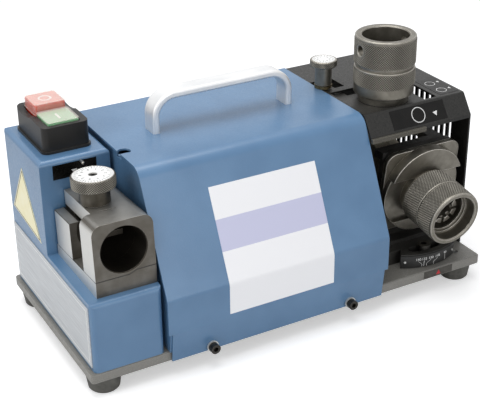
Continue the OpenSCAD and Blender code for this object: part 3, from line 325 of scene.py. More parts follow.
# Moulded rubber: matt, with a faint cloudiness and a grain drawn at 0.9 mm so that it shows.
rubber, tree, shader = new_material("moulded_rubber")
fine = grain(tree, 0.9, detail=3.0)
shades(tree, shader, grain(tree, 7.0).outputs[0], "#4a4945", "#5d5c57")
shader.inputs["Roughness"].default_value = 0.72
relief(tree, shader, fine.outputs[0], 0.05)
finish(rubber, "rubber_feet")

# Zinc plating: pale and bluish, with a soft cloudiness.
zinc, tree, shader = new_material("zinc_plated_steel")
cloud = grain(tree, 1.6, detail=3.0)
shades(tree, shader, cloud.outputs[0], "#8b8d90", "#b4b5b6")
shades(tree, shader, cloud.outputs[0], 0.28, 0.45, socket="Roughness")
shader.inputs["Metallic"].default_value = 1.0
finish(zinc, "foot_screws", "station_screws", "handle_screws", "guard_screws", "port_plate_screws",
       "pivot_bolt", "motor_screws", "wheel_nut")

# ---------- left housing ----------
# Welded box of steel plates for the wiring, with a low ledge in front that carries the setting station.
# It is powder coated in the same blue as the main cover, and has a label, a film and a plate stuck on it.

# Blue powder coat: a fine orange peel that breaks up the highlights, and a painted highlight along the rounded
# edges.
powder, tree, shader = new_material("blue_powder_coat")
peel = grain(tree, 1.5, detail=2.0, Roughness=0.6)
shades(tree, shader, grain(tree, 45.0, detail=2.0).outputs[0], "#52779b", "#5a7fa3")
shades(tree, shader, peel.outputs[0], 0.28, 0.44, socket="Roughness")
shader.inputs["Coat Weight"].default_value = 0.3
shader.inputs["Coat Roughness"].default_value = 0.22
worn(tree, shader, relief(tree, shader, peel.outputs[0], 0.11, 0.7), "#86a5c0", 0.5)
finish(powder, "left_housing", "main_cover", "bulkhead_left")

tall_front = 107
index_face = flat(17, tall_front, 160.6, (1, 0, 0), (0, 0, 1))
plate("index_label", box_outline(0, 44, 0, 14.6), stuck, 0.25, index_face, vinyl, "frame")
plate("index_arrow", [(18.5, 7.2), (24.5, 7.2), (21.5, 2.6)], 0.2, 0.35, index_face,
      inks["white"], "frame")

# Pale yellow vinyl film, plain but for a thin dark line, stuck on the housing's left side.
film, tree, shader = new_material("pale_yellow_film")
shades(tree, shader, grain(tree, 12.0).outputs[0], "#efe6b4", "#f4edc6")
shader.inputs["Roughness"].default_value = 0.3
side_face = flat(4, 208, 10.5, (0, -1, 0), (0, 0, 1))
corners = [Vector((10.0, 88.0)), Vector((87.0, 79.5)), Vector((48.0, 144.5))]
middle = sum(corners, Vector((0, 0))) / 3
rim, inner = ([tuple(middle + (c - middle) * part) for c in corners] for part in (0.94, 0.90))
plate("side_mark_film", [tuple(c) for c in corners], stuck, 0.2, side_face, film, "frame")
plate("side_mark_line", rim, 0.15, 0.3, side_face, inks["black"], "frame", hole=inner)

# Brushed aluminium plate over the foot of the left side, with an etched line round its edge.
brushed, tree, shader = new_material("brushed_aluminium_plate")
brush = grain(tree, 1.2, detail=4.0, stretch=(1, 0.03, 1))
shades(tree, shader, brush.outputs[0], "#b4b7ba", "#cdd0d2")
shades(tree, shader, brush.outputs[0], 0.36, 0.5, socket="Roughness")
shader.inputs["Metallic"].default_value = 0.55
relief(tree, shader, brush.outputs[0], 0.015)
finish(brushed, "data_plate")
plate_face = flat(3, 202, 14.5, (0, -1, 0), (0, 0, 1))
plate("plate_border", box_outline(4, 192, 4, 60), stuck, 0.08, plate_face,
      inks["white"], "frame", hole=box_outline(4.8, 191.2, 4.8, 59.2))

# Ground steel: fine random scratches, bright.
ground, tree, shader = new_material("ground_steel")
scratch = grain(tree, 0.9, detail=4.0, stretch=(1, 1, 0.15))
shades(tree, shader, scratch.outputs[0], "#8d8a83", "#b0ada6")
shades(tree, shader, scratch.outputs[0], 0.26, 0.42, socket="Roughness")
shader.inputs["Metallic"].default_value = 1.0
finish(ground, "pointer_pin", "ball_bearings", "rotor_and_shaft", "wheel_hub")

# Drawn aluminium can of the run capacitor: soft lines along the draw.
can, tree, shader = new_material("drawn_aluminium_can")
draw = grain(tree, 1.5, detail=3.0, stretch=(1, 0.05, 1))
shades(tree, shader, draw.outputs[0], "#b9b9b4", "#d2d2cd")
shader.inputs["Metallic"].default_value = 0.8
shader.inputs["Roughness"].default_value = 0.4
finish(can, "run_capacitor")

# Moulded black ABS: a fine spark-eroded grain with a dull gloss.
abs_black, tree, shader = new_material("moulded_black_abs")
spark = grain(tree, 0.7, detail=3.0)
shades(tree, shader, grain(tree, 20.0).outputs[0], "#151412", "#1d1b19")
shader.inputs["Roughness"].default_value = 0.38
shader.inputs["Specular IOR Level"].default_value = 0.35
relief(tree, shader, spark.outputs[0], 0.03)
finish(abs_black, "mains_gland", "switch_frame", "switch_body")

# ---------- switch ----------
# Two square push buttons under clear soft covers in a raised black frame: red O stops, green I starts.
# The buttons are dyed polycarbonate, and each cover is one thin moulded cap that goes down with it.

switch_x, stop_y, start_y, housing_top = 39.5, 177, 143.5, 180.5
for name, dark, light in (("stop_button", "#cf3f2c", "#dd4c36"), ("start_button", "#37a05e", "#45ad6a")):
    dyed, tree, shader = new_material(("red" if name == "stop_button" else "green") + "_polycarbonate")
    shades(tree, shader, grain(tree, 6.0).outputs[0], dark, light)
    shader.inputs["Roughness"].default_value = 0.22
    shader.inputs["IOR"].default_value = 1.58
    shader.inputs["Subsurface Weight"].default_value = 0.15
    shader.inputs["Subsurface Radius"].default_value = (0.002, 0.001, 0.001)
    finish(dyed, name)

# Clear soft PVC: a milky veil over the button's top, clearer on its sides, and white along its edges as a
# painted highlight.
clear, tree, shader = new_material("clear_soft_pvc")
eased = relief(tree, shader, grain(tree, 5.0).outputs[0], 0.03, 0.7)
shape = add(tree, "ShaderNodeNewGeometry")
part = add(tree, "ShaderNodeSeparateXYZ", Vector=shape.outputs["True Normal"])
veil = add(tree, "ShaderNodeMapRange", Value=part.outputs["Z"],
           From_Min=0.5, From_Max=0.95, To_Min=0.14, To_Max=0.34)
# Painted highlight: the edges are made whiter and less clear.
fit = add(tree, "ShaderNodeVectorMath", {"operation": "DOT_PRODUCT"},
          _0=eased, _1=shape.outputs["True Normal"])
edge = add(tree, "ShaderNodeMapRange", Value=fit.outputs["Value"], From_Min=0.985, From_Max=0.86, To_Max=0.8)
whiter = add(tree, "ShaderNodeMath", {"operation": "MAXIMUM"}, _0=veil, _1=edge)
tree.links.new(whiter.outputs[0], shader.inputs["Alpha"])
shader.inputs["Base Color"].default_value = colour("#efe6dc")
shades(tree, shader, grain(tree, 4.0).outputs[0], 0.06, 0.14, socket="Roughness")


def rounded(width, depth, radius, steps=5):
    """Outline of a rectangle with round corners, centred."""
    points = []
    for sx, sy, start in ((1, 1, 0), (-1, 1, 90), (-1, -1, 180), (1, -1, 270)):
        for i in range(steps + 1):
            a = math.radians(start + 90 * i / steps)
            points.append((
                sx * (width / 2 - radius) + radius * math.cos(a),
                sy * (depth / 2 - radius) + radius * math.sin(a),
            ))
    return points


def loft(shape, sections, place):
    """Adds a skin through outlines with equal counts at given heights, and closes its two ends."""
    rows = [[shape.verts.new(place @ Vector((x, y, z))) for x, y in line] for z, line in sections]
    for below, over in zip(rows, rows[1:]):
        for i in range(len(below)):
            k = (i + 1) % len(below)
            shape.faces.new((below[i], below[k], over[k], over[i]))
    shape.faces.new(rows[0])
    shape.faces.new(rows[-1])


def on_switch(y):
    """Matrix of a drawing in millimetres on the switch's seat, centred under a button."""
    return flat(switch_x, y, housing_top, (1, 0, 0), (0, 1, 0))


# Levels of a cover, foot first: height over its button's top, width, depth and corner radius.
cover_levels = (
    (-9.5, 33.2, 32.6, 3.2), (0.4, 33.0, 32.5, 3.1), (1.2, 32.3, 31.8, 2.8), (1.5, 30.8, 30.4, 2.2)
)
cover_wall, cover_roof = 0.7, 0.9
for name, y, top, body in (
    ("stop_cover", stop_y, 34.0, "stop_button"), ("start_cover", start_y, 27.5, "start_button")
):
    shape = bmesh.new()
    for shrink, lower in ((0.0, 0.0), (2 * cover_wall, cover_roof)):
        loft(shape, [
            (top + rise - (lower if rise > 0 else 0), rounded(width - shrink, depth - shrink, radius))
            for rise, width, depth, radius in cover_levels
        ], on_switch(y))
    caps = [f for f in shape.faces if len(f.verts) > 4]
    bmesh.ops.delete(shape, geom=[caps[0], caps[2]], context="FACES_ONLY")
    verts = list(shape.verts)
    ring = len(verts) // (2 * len(cover_levels))
    outer, inner = verts[:ring], verts[len(verts) // 2:][:ring]
    for i in range(ring):
        k = (i + 1) % ring
        shape.faces.new((outer[i], outer[k], inner[k], inner[i]))
    finished(name, shape, clear, body)


def new_growth(name, *inputs):
    """A Geometry Nodes tree with named inputs: (name, socket kind) pairs."""
    tree = bpy.data.node_groups.new(name, "GeometryNodeTree")
    for label, kind in inputs:
        tree.interface.new_socket(label, in_out="INPUT", socket_type="NodeSocket" + kind)
    tree.interface.new_socket("Mesh", in_out="OUTPUT", socket_type="NodeSocketGeometry")
    return tree, add(tree, "NodeGroupInput").outputs


def grown(name, tree, place, material, body, slot, **values):
    """Runs a Geometry Nodes tree once and keeps its result as a plain piece that rides on a body."""
    piece = bpy.data.objects.new(name, bpy.data.meshes.new(name))
    bpy.context.scene.collection.objects.link(piece)
    modifier = piece.modifiers.new("growth", "NODES")
    modifier.node_group = tree
    values["Material"] = material
    for item in tree.interface.items_tree:
        if item.in_out == "INPUT":
            modifier[item.identifier] = values[item.name.replace(" ", "_")]
    bpy.context.view_layer.update()
    result = bpy.data.meshes.new_from_object(piece.evaluated_get(bpy.context.evaluated_depsgraph_get()))
    piece.modifiers.remove(modifier)
    result.transform(place)
    result.materials.clear()
    result.materials.append(material)
    result.polygons.foreach_set("material_index", [0] * len(result.polygons))
    result.name = name
    piece.data = result
    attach(piece, body)
    return piece


# Return spring under each button: four turns of 1.2 mm zinc-plated wire.
coil, given = new_growth(
    "return_spring", ("Coil Radius", "Float"), ("Wire Radius", "Float"), ("Free Height", "Float"),
    ("Turns", "Float"), ("Material", "Material"))
helix = add(coil, "GeometryNodeCurveSpiral", Resolution=20, Rotations=given["Turns"],
            Start_Radius=given["Coil Radius"], End_Radius=given["Coil Radius"], Height=given["Free Height"])
wire = add(coil, "GeometryNodeCurvePrimitiveCircle", Resolution=8, Radius=given["Wire Radius"])
swept = add(coil, "GeometryNodeCurveToMesh", Curve=helix, Profile_Curve=wire, Fill_Caps=True)
solid = add(coil, "GeometryNodeRealizeInstances", Geometry=swept)
add(coil, "NodeGroupOutput",
    Mesh=add(coil, "GeometryNodeSetMaterial", Geometry=solid, Material=given["Material"]))
free_height, travel, switch_floor = 9.4, 3.0, 3.8
for name, y in (("stop", stop_y), ("start", start_y)):
    seat = at(switch_x, y, housing_top + switch_floor)
    spring = grown(name + "_return_spring", coil, Matrix.Translation(seat) @ millimetres, zinc, "frame", "steel",
                   Coil_Radius=8.0, Wire_Radius=0.6, Free_Height=free_height, Turns=4.0)
    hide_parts(name + "_spring")
    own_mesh(spring)


def disc(radius, x=0, y=0):
    """Outline of a circle in millimetres round a centre."""
    turns = [math.radians(a) for a in range(0, 360, 10)]
    return [(x + radius * math.cos(a), y + radius * math.sin(a)) for a in turns]


# Printed signs on the buttons: a ring on the red one and a bar on the green one.
plate("stop_sign", disc(6.6), 33.95, 34.15, on_switch(stop_y), inks["white"], "stop_button",
      hole=disc(4.8))
plate("start_sign", box_outline(-1.0, 1.0, -6.0, 6.0), 27.45, 27.65, on_switch(start_y),
      inks["white"], "start_button")

# ---------- setting station ----------
# Milled and ground steel block on a wedge, with a bore that takes the chuck while the drill is set.
# Blackened lightly: a warm grey with the fine lines of the cutter.

station = Matrix.Translation(at(14.6, 10, 99.5)) @ Matrix.Rotation(math.radians(-3), 4, "X")
bore_middle = Matrix.Translation(Vector((30, 0, 26)) / 1000)
bore_axis = station @ bore_middle @ Matrix.Rotation(math.radians(-90), 4, "X")


def around(tree, axis):
    """Object coordinates turned to an axis, and their distance from it."""
    inverse = axis.inverted()
    mapped = add(tree, "ShaderNodeMapping", Vector=add(tree, "ShaderNodeTexCoord").outputs["Object"],
                 Location=inverse.to_translation(), Rotation=inverse.to_euler())
    part = add(tree, "ShaderNodeSeparateXYZ", Vector=mapped)
    across = add(tree, "ShaderNodeCombineXYZ", X=part.outputs["X"], Y=part.outputs["Y"])
    radius = add(tree, "ShaderNodeVectorMath", {"operation": "LENGTH"}, _0=across)
    return mapped, part, radius.outputs["Value"]


# Blackened steel: its left and top faces painted brighter where the soft boxes light them, and the bore painted
# dark as shade.
milled, tree, shader = new_material("milled_blackened_steel")
lines = grain(tree, 0.8, detail=4.0, stretch=(0.06, 1, 1))
smudge = grain(tree, 14.0, detail=4.0)
part = add(tree, "ShaderNodeSeparateXYZ", Vector=add(tree, "ShaderNodeNewGeometry").outputs["True Normal"])
# Painted light: faces that turn left or up are made brighter, where the soft boxes light them.
side = add(tree, "ShaderNodeMapRange", Value=part.outputs["X"], From_Min=-0.75, From_Max=-0.95, To_Max=1.0)
over = add(tree, "ShaderNodeMapRange", Value=part.outputs["Z"], From_Min=0.8, From_Max=0.95, To_Max=0.34)
painted_light_faces = add(tree, "ShaderNodeMath", {"operation": "MAXIMUM"}, _0=side, _1=over)
from_axis = around(tree, bore_axis)[2]
out_of_bore = add(tree, "ShaderNodeMapRange", Value=from_axis, From_Min=0.0232, From_Max=0.0236)
shown = add(tree, "ShaderNodeMath", {"operation": "MULTIPLY"}, _0=painted_light_faces, _1=out_of_bore)
painted_light_and_mottle = add(tree, "ShaderNodeMath", {"operation": "ADD"}, _0=shown,
              _1=add(tree, "ShaderNodeMath", {"operation": "MULTIPLY"}, _0=smudge.outputs[0], _1=0.25))
shades(tree, shader, painted_light_and_mottle, "#605c55", "#d6d5d1", 0.1, 1.1)
# Painted shade: darker inside the bore.
painted_bore_shade = add(tree, "ShaderNodeMix", {"data_type": "RGBA"}, _0=out_of_bore, _6=colour("#37332d"),
            _7=shader.inputs["Base Color"].links[0].from_socket)
tree.links.new(painted_bore_shade.outputs[2], shader.inputs["Base Color"])
shades(tree, shader, lines.outputs[0], 0.34, 0.5, socket="Roughness")
shader.inputs["Metallic"].default_value = 0.85
# Paler along outer edges: edge wear with a painted highlight.
worn(tree, shader, relief(tree, shader, lines.outputs[0], 0.02, 0.35), "#aeaaa1", 0.6)
finish(milled, "wedge_base", "setting_block", "side_jaw", "web_stop")

# Painted shade in the stepped joint of block and wedge: a dark strip round the two sides that show, where the
# narrow gap lies in shadow.
joint_shade, tree, shader = new_material("dried_oil")
shades(tree, shader, grain(tree, 3.0).outputs[0], "#1d1a16", "#2b2722")
shader.inputs["Roughness"].default_value = 0.5
joint = [(0, 0), (33.3, 0), (40.8, 3), (60, 3)]
station_depth, proud = 93, 0.04
front = station @ millimetres @ Matrix.Rotation(math.radians(90), 4, "X")
shape = bmesh.new()
prism(shape, [(x, z - 0.25) for x, z in joint] + [(x, z + 0.75) for x, z in reversed(joint)],
      -0.5, proud, front)
prism(shape, box_outline(-proud, 0.3, -0.2, 0.4), -station_depth, 0.0, front)
finished("station_joint", shape, joint_shade, "frame")

# ---------- web dial ----------
# Turned steel dial on the setting block, with a knurled rim and a white anodised face.
# Its screw stops the drill's web: ticks and plain numbers show how far it is turned.


def turned(name, axis, dark="#77736a", light="#87837a", shine=(0.3, 0.46), crests=None):
    """Lathe-turned blackened steel: fine rings round an axis, given as a matrix in the row frame.

    With crests, a radius and a height in millimetres, the feet of the knurl are painted dark as shade and its
    crests painted light as highlight.
    """
    material, tree, shader = new_material(name)
    mapped, part, radius = around(tree, axis)
    rings = add(tree, "ShaderNodeCombineXYZ", X=radius, Y=part.outputs["Z"])
    lathe = add(tree, "ShaderNodeTexNoise", Vector=rings, Scale=1000 / 0.7, Detail=3.0)
    smudge = add(tree, "ShaderNodeTexNoise", Vector=mapped, Scale=1000 / 9.0, Detail=4.0)
    if crests is None:
        shades(tree, shader, smudge.outputs[0], dark, light)
        # Paler along outer edges: edge wear with a painted highlight.
        worn(tree, shader, relief(tree, shader, lathe.outputs[0], 0.02, 1.1), "#dedad1", 0.9)
    else:
        # Painted shade in the knurl's valleys and painted highlight on its crests, by distance from the axis.
        shades(tree, shader, radius, "#24221e", "#aeaaa0",
               (crests[0] + 0.05) / 1000, (crests[0] + crests[1]) / 1000)
    shades(tree, shader, lathe.outputs[0], shine[0], shine[1], socket="Roughness")
    shader.inputs["Metallic"].default_value = 0.9
    return material


def axis_at(x, y, z, tilt=0):
    """Matrix in the row frame of an axis that stands at a place and leans back or forward about X."""
    return Matrix.Translation(at(x, y, z)) @ Matrix.Rotation(math.radians(tilt), 4, "X")


dial_axis = station @ Matrix.Translation(Vector((26, 51, 55)) / 1000)
# The dial's steel is coloured darker than the other turned steel: painted shade, for its neck under the rim.
finish(turned("turned_dial_steel", dial_axis, "#4d4941", "#5e5a52"), "web_dial")


def on_circle(tree, radius, angle, height):
    """Place at a radius, an angle and a height round Z, in a Geometry Nodes tree."""
    east = add(tree, "ShaderNodeMath", {"operation": "COSINE"}, _0=angle)
    north = add(tree, "ShaderNodeMath", {"operation": "SINE"}, _0=angle)
    return add(tree, "ShaderNodeCombineXYZ", Z=height,
               X=add(tree, "ShaderNodeMath", {"operation": "MULTIPLY"}, _0=radius, _1=east),
               Y=add(tree, "ShaderNodeMath", {"operation": "MULTIPLY"}, _0=radius, _1=north))


# Diamond knurl: rows of small four-sided pyramids round a cylinder, each row half a step on.
knurl, given = new_growth(
    "diamond_knurl", ("Radius", "Float"), ("Bottom", "Float"), ("Rows", "Int"), ("Around", "Int"),
    ("Relief", "Float"), ("Hole Height", "Float"), ("Hole Radius", "Float"), ("Material", "Material"))
sink = 0.15  # millimetres that a pyramid's foot lies below the turned surface
count = add(knurl, "ShaderNodeMath", {"operation": "MULTIPLY"}, _0=given["Rows"], _1=given["Around"])
index = add(knurl, "GeometryNodeInputIndex")
row = add(knurl, "ShaderNodeMath", {"operation": "FLOOR"},
          _0=add(knurl, "ShaderNodeMath", {"operation": "DIVIDE"}, _0=index, _1=given["Around"]))
column = add(knurl, "ShaderNodeMath", {"operation": "MODULO"}, _0=index, _1=given["Around"])
shift = add(knurl, "ShaderNodeMath", {"operation": "MULTIPLY"}, _1=0.5,
            _0=add(knurl, "ShaderNodeMath", {"operation": "MODULO"}, _0=row, _1=2.0))
step = add(knurl, "ShaderNodeMath", {"operation": "DIVIDE"}, _0=2 * math.pi, _1=given["Around"])
angle = add(knurl, "ShaderNodeMath", {"operation": "MULTIPLY"}, _1=step,
            _0=add(knurl, "ShaderNodeMath", {"operation": "ADD"}, _0=column, _1=shift))
half = add(knurl, "ShaderNodeMath", {"operation": "MULTIPLY"}, _1=given["Radius"],
           _0=add(knurl, "ShaderNodeMath", {"operation": "MULTIPLY"}, _0=step, _1=0.5))
height = add(knurl, "ShaderNodeMath", {"operation": "ADD"}, _0=given["Bottom"],
             _1=add(knurl, "ShaderNodeMath", {"operation": "MULTIPLY"}, _0=half,
                    _1=add(knurl, "ShaderNodeMath", {"operation": "ADD"}, _0=row, _1=1.0)))
root = add(knurl, "ShaderNodeMath", {"operation": "SUBTRACT"}, _0=given["Radius"], _1=sink)
spot = on_circle(knurl, root, angle, height)
across = add(knurl, "ShaderNodeSeparateXYZ", _0=spot)
from_hole = add(knurl, "ShaderNodeVectorMath", {"operation": "LENGTH"}, _0=add(
    knurl, "ShaderNodeCombineXYZ", X=across.outputs["Y"],
    Y=add(knurl, "ShaderNodeMath", {"operation": "SUBTRACT"}, _0=height, _1=given["Hole Height"])))
clear_of_hole = add(knurl, "ShaderNodeMath", {"operation": "GREATER_THAN"},
                    _0=from_hole.outputs["Value"], _1=given["Hole Radius"])
points = add(knurl, "GeometryNodePoints", Count=count, Position=spot)
deep = add(knurl, "ShaderNodeMath", {"operation": "ADD"}, _0=given["Relief"], _1=sink)
wide = add(knurl, "ShaderNodeMath", {"operation": "MULTIPLY"}, _0=half,
           _1=add(knurl, "ShaderNodeMath", {"operation": "DIVIDE"}, _0=deep, _1=given["Relief"]))
pyramid = add(knurl, "GeometryNodeMeshCone", {"fill_type": "NGON"},
              Vertices=4, Radius_Top=0.0, Radius_Bottom=wide, Depth=deep)
facing = add(knurl, "FunctionNodeEulerToRotation",
             Euler=add(knurl, "ShaderNodeCombineXYZ", Y=math.pi / 2, Z=angle))
studs = add(knurl, "GeometryNodeInstanceOnPoints", Points=points, Selection=clear_of_hole,
            Instance=pyramid, Rotation=facing)
solid = add(knurl, "GeometryNodeRealizeInstances", Geometry=studs)
add(knurl, "NodeGroupOutput",
    Mesh=add(knurl, "GeometryNodeSetMaterial", Geometry=solid, Material=given["Material"]))

# Scale ticks: thin bars along a circle, every few of them longer, measured inwards from the rim.
ticks, given = new_growth(
    "scale_ticks", ("Count", "Int"), ("Rim", "Float"), ("Short", "Float"), ("Long", "Float"),
    ("Every", "Int"), ("Width", "Float"), ("Height", "Float"), ("Thickness", "Float"),
    ("Material", "Material"))
index = add(ticks, "GeometryNodeInputIndex")
angle = add(ticks, "ShaderNodeMath", {"operation": "MULTIPLY"}, _0=index,
            _1=add(ticks, "ShaderNodeMath", {"operation": "DIVIDE"}, _0=2 * math.pi, _1=given["Count"]))
minor = add(ticks, "ShaderNodeMath", {"operation": "GREATER_THAN"}, _1=0.5,
            _0=add(ticks, "ShaderNodeMath", {"operation": "MODULO"}, _0=index, _1=given["Every"]))
length = add(ticks, "ShaderNodeMapRange", Value=minor, To_Min=given["Long"], To_Max=given["Short"])
centre = add(ticks, "ShaderNodeMath", {"operation": "SUBTRACT"}, _0=given["Rim"],
             _1=add(ticks, "ShaderNodeMath", {"operation": "MULTIPLY"}, _0=length, _1=0.5))
spot = on_circle(ticks, centre, angle, given["Height"])
facing = add(ticks, "FunctionNodeEulerToRotation", Euler=add(ticks, "ShaderNodeCombineXYZ", Z=angle))
bars = add(ticks, "GeometryNodeInstanceOnPoints",
           Points=add(ticks, "GeometryNodePoints", Count=given["Count"], Position=spot),
           Instance=add(ticks, "GeometryNodeMeshCube"), Rotation=facing,
           Scale=add(ticks, "ShaderNodeCombineXYZ", X=length, Y=given["Width"], Z=given["Thickness"]))
solid = add(ticks, "GeometryNodeRealizeInstances", Geometry=bars)
add(ticks, "NodeGroupOutput",
    Mesh=add(ticks, "GeometryNodeSetMaterial", Geometry=solid, Material=given["Material"]))


def numeral(text, height, thickness):
    """Mesh in millimetres of a plain number, centred on the origin."""
    curve = bpy.data.curves.new("numeral", "FONT")
    curve.body = text
    curve.size = height / 0.7
    curve.align_x, curve.align_y = "CENTER", "CENTER"
    curve.extrude = thickness / 2
    curve.resolution_u = 3
    letter = bpy.data.objects.new("numeral", curve)
    bpy.context.scene.collection.objects.link(letter)
    bpy.context.view_layer.update()
    mesh = bpy.data.meshes.new_from_object(letter.evaluated_get(bpy.context.evaluated_depsgraph_get()))
    bpy.data.objects.remove(letter)
    bpy.data.curves.remove(curve)
    return mesh


def numbers(name, labels, height, thickness, material, body):
    """One piece from several numbers, each given as (text, matrix)."""
    shape = bmesh.new()
    for text, place in labels:
        mesh = numeral(text, height, thickness)
        mesh.transform(place)
        shape.from_mesh(mesh)
        bpy.data.meshes.remove(mesh)
    bmesh.ops.remove_doubles(shape, verts=shape.verts, dist=1e-7)
    finished(name, shape, material, body)


print_depth = 0.12


def ten_numbers(name, axis, radius, top, height, body):
    """Plain numbers from 0 to 9 round a dial's face, with their heads to its rim."""
    upright = Matrix.Translation((radius, 0, top)) @ Matrix.Rotation(math.radians(-90), 4, "Z")
    numbers(name, [
        (str(i), axis @ millimetres @ Matrix.Rotation(math.radians(90 - 36 * i), 4, "Z") @ upright)
        for i in range(10)
    ], height, print_depth, inks["black"], body)


# White anodised aluminium with engraved and filled black marks.
anodised, tree, shader = new_material("white_anodised_face")
shades(tree, shader, grain(tree, 3.0).outputs[0], "#ebebe9", "#f5f5f3")
shader.inputs["Roughness"].default_value = 0.4
finish(anodised, "web_dial_face", "adjust_knob_face")

dial_top = 27.3
dial_knurl = turned("knurled_dial_steel", dial_axis, crests=(20.5, 0.6))
grown("web_dial_knurl", knurl, dial_axis @ millimetres, dial_knurl, "web_dial", "chuck_steel",
      Radius=20.5, Bottom=15.7, Rows=9, Around=58, Relief=0.6, Hole_Height=0.0, Hole_Radius=0.0)
grown("web_dial_ticks", ticks, dial_axis @ millimetres, inks["black"], "web_dial", "black_plastic",
      Count=40, Rim=18.6, Short=3.0, Long=4.6, Every=4, Width=0.35, Height=dial_top, Thickness=print_depth)
ten_numbers("web_dial_numbers", dial_axis, 11.6, dial_top, 2.6, "web_dial")

# Blackened socket screw in the dial's middle, and the heads on the cover: dark oxide with worn edges.
oxide, tree, shader = new_material("black_oxide_steel")
wear = grain(tree, 1.2, detail=3.0)
shades(tree, shader, wear.outputs[0], "#34322f", "#4c4a46")
shader.inputs["Metallic"].default_value = 0.9
shades(tree, shader, wear.outputs[0], 0.3, 0.45, socket="Roughness")
finish(oxide, "dial_screw", "lock_screw", "cover_screws")

# ---------- main cover ----------
# Bent steel sheet over the motor, powder coated with the housing, held by two screws with washers.
# A plain white label with one lavender band runs over the bend at the foot of its slanted front.

# Printed polyester label: white, with a lavender band on the slanted part.
printed, tree, shader = new_material("printed_polyester_label")
where = add(tree, "ShaderNodeSeparateXYZ", Vector=add(tree, "ShaderNodeTexCoord").outputs["Object"])
band_low, band_high = at(0, 0, 97.6).z, at(0, 0, 125.6).z
over = add(tree, "ShaderNodeMath", {"operation": "GREATER_THAN"}, _0=where.outputs["Z"], _1=band_low)
under = add(tree, "ShaderNodeMath", {"operation": "LESS_THAN"}, _0=where.outputs["Z"], _1=band_high)
band = add(tree, "ShaderNodeMath", {"operation": "MULTIPLY"}, _0=over, _1=under)
shades(tree, shader, band, "#f3f3f5", "#c6c7e0", 0.0, 1.0)
shades(tree, shader, grain(tree, 3.0).outputs[0], 0.3, 0.38, socket="Roughness")

slant_top, slant_foot, bend_radius = Vector((46.5, 183.0)), Vector((-6.8, 68.5)), 12.0
along = (slant_top - slant_foot).normalized()
half_angle = math.acos(along.dot(Vector((0, -1)))) / 2
tangent = bend_radius / math.tan(half_angle)
centre = slant_foot + (along + Vector((0, -1))).normalized() * bend_radius / math.sin(half_angle)
slant_normal = Vector((-along.y, along.x))
label_top, label_foot, bend_steps = 154.1, 36.6, 8


def skin(lift):
    """Side line of the label in Y and Z, from its top edge on the slant to its foot on the panel."""
    top = slant_foot + along * ((label_top - slant_foot.y) / along.y)
    points = [top + slant_normal * lift]
    start = math.atan2(slant_normal.y, slant_normal.x)
    for i in range(bend_steps + 1):
        a = start + (math.pi - start) * i / bend_steps
        points.append(centre + Vector((math.cos(a), math.sin(a))) * (bend_radius + lift))
    points.append(Vector((slant_foot.x - lift, label_foot)))
    return points


label_left, label_right = 141.2, 258.2
shape = bmesh.new()
left, right = (
    [shape.verts.new(at(x, y, z)) for y, z in skin(0.22) + skin(-0.1)[::-1]]
    for x in (label_left, label_right)
)
loop = len(left)
for i in range(loop):
    k = (i + 1) % loop
    shape.faces.new((left[i], left[k], right[k], right[i]))
for side in (left, right):
    for i in range(loop // 2 - 1):
        shape.faces.new((side[i], side[i + 1], side[loop - 2 - i], side[loop - 1 - i]))
finished("cover_label", shape, printed, "frame")

# Folded tongue of the inner wall, seen in the front half of the access hole beside the switch.
tongue = [(x, y) for x, y in disc(6.3) if y < 0.1]
plate("hole_tongue", tongue, -3.0, -2.0, flat(82.1, 88.5, 183.0, (1, 0, 0), (0, 1, 0)),
      powder, "frame")

# Pale zinc washers under the two screw heads.
washer, tree, shader = new_material("bright_zinc_washer")
shades(tree, shader, grain(tree, 1.2, detail=3.0).outputs[0], "#cfcfcb", "#e6e6e3")
shader.inputs["Metallic"].default_value = 0.6
shader.inputs["Roughness"].default_value = 0.32
finish(washer, "cover_washers", "scale_screws")

# Satin-anodised aluminium bar of the handle, bead-blasted before it was anodised.
satin, tree, shader = new_material("satin_anodised_aluminium")
bead = grain(tree, 0.6, detail=2.0)
shades(tree, shader, grain(tree, 30.0).outputs[0], "#dfe0e1", "#ebebeb")
shades(tree, shader, bead.outputs[0], 0.38, 0.5, socket="Roughness")
shader.inputs["Metallic"].default_value = 0.7
relief(tree, shader, bead.outputs[0], 0.015)
finish(satin, "carry_handle")

# ---------- wheel guard ----------
# Folded sheet guard over the grinding wheel, in black wrinkle enamel, with vent slots in its end.
# Two black labels carry a plain circle and small arrows that show which way a chuck turns.

# Wrinkle enamel: a close maze of ridges about 1.5 mm apart, dull in the valleys.
wrinkle, tree, shader = new_material("black_wrinkle_enamel")
ridges = grain(tree, 1.7, detail=3.0, Distortion=1.2)
shades(tree, shader, ridges.outputs[0], "#090908", "#1d1c19")
shades(tree, shader, ridges.outputs[0], 0.7, 0.42, socket="Roughness")
shader.inputs["Specular IOR Level"].default_value = 0.25
shader.inputs["Coat Weight"].default_value = 0.35
shader.inputs["Coat Roughness"].default_value = 0.3
relief(tree, shader, ridges.outputs[0], 0.16)
finish(wrinkle, "wheel_guard", "bulkhead_right")

# Plain black enamel on the machined parts: smoother, with a soft gloss.
enamel, tree, shader = new_material("black_satin_enamel")
sprayed = grain(tree, 1.1, detail=2.0)
shades(tree, shader, grain(tree, 18.0).outputs[0], "#262523", "#31302d")
shades(tree, shader, sprayed.outputs[0], 0.36, 0.5, socket="Roughness")
relief(tree, shader, sprayed.outputs[0], 0.03)
finish(enamel, "top_port_plate", "swivel_bracket")

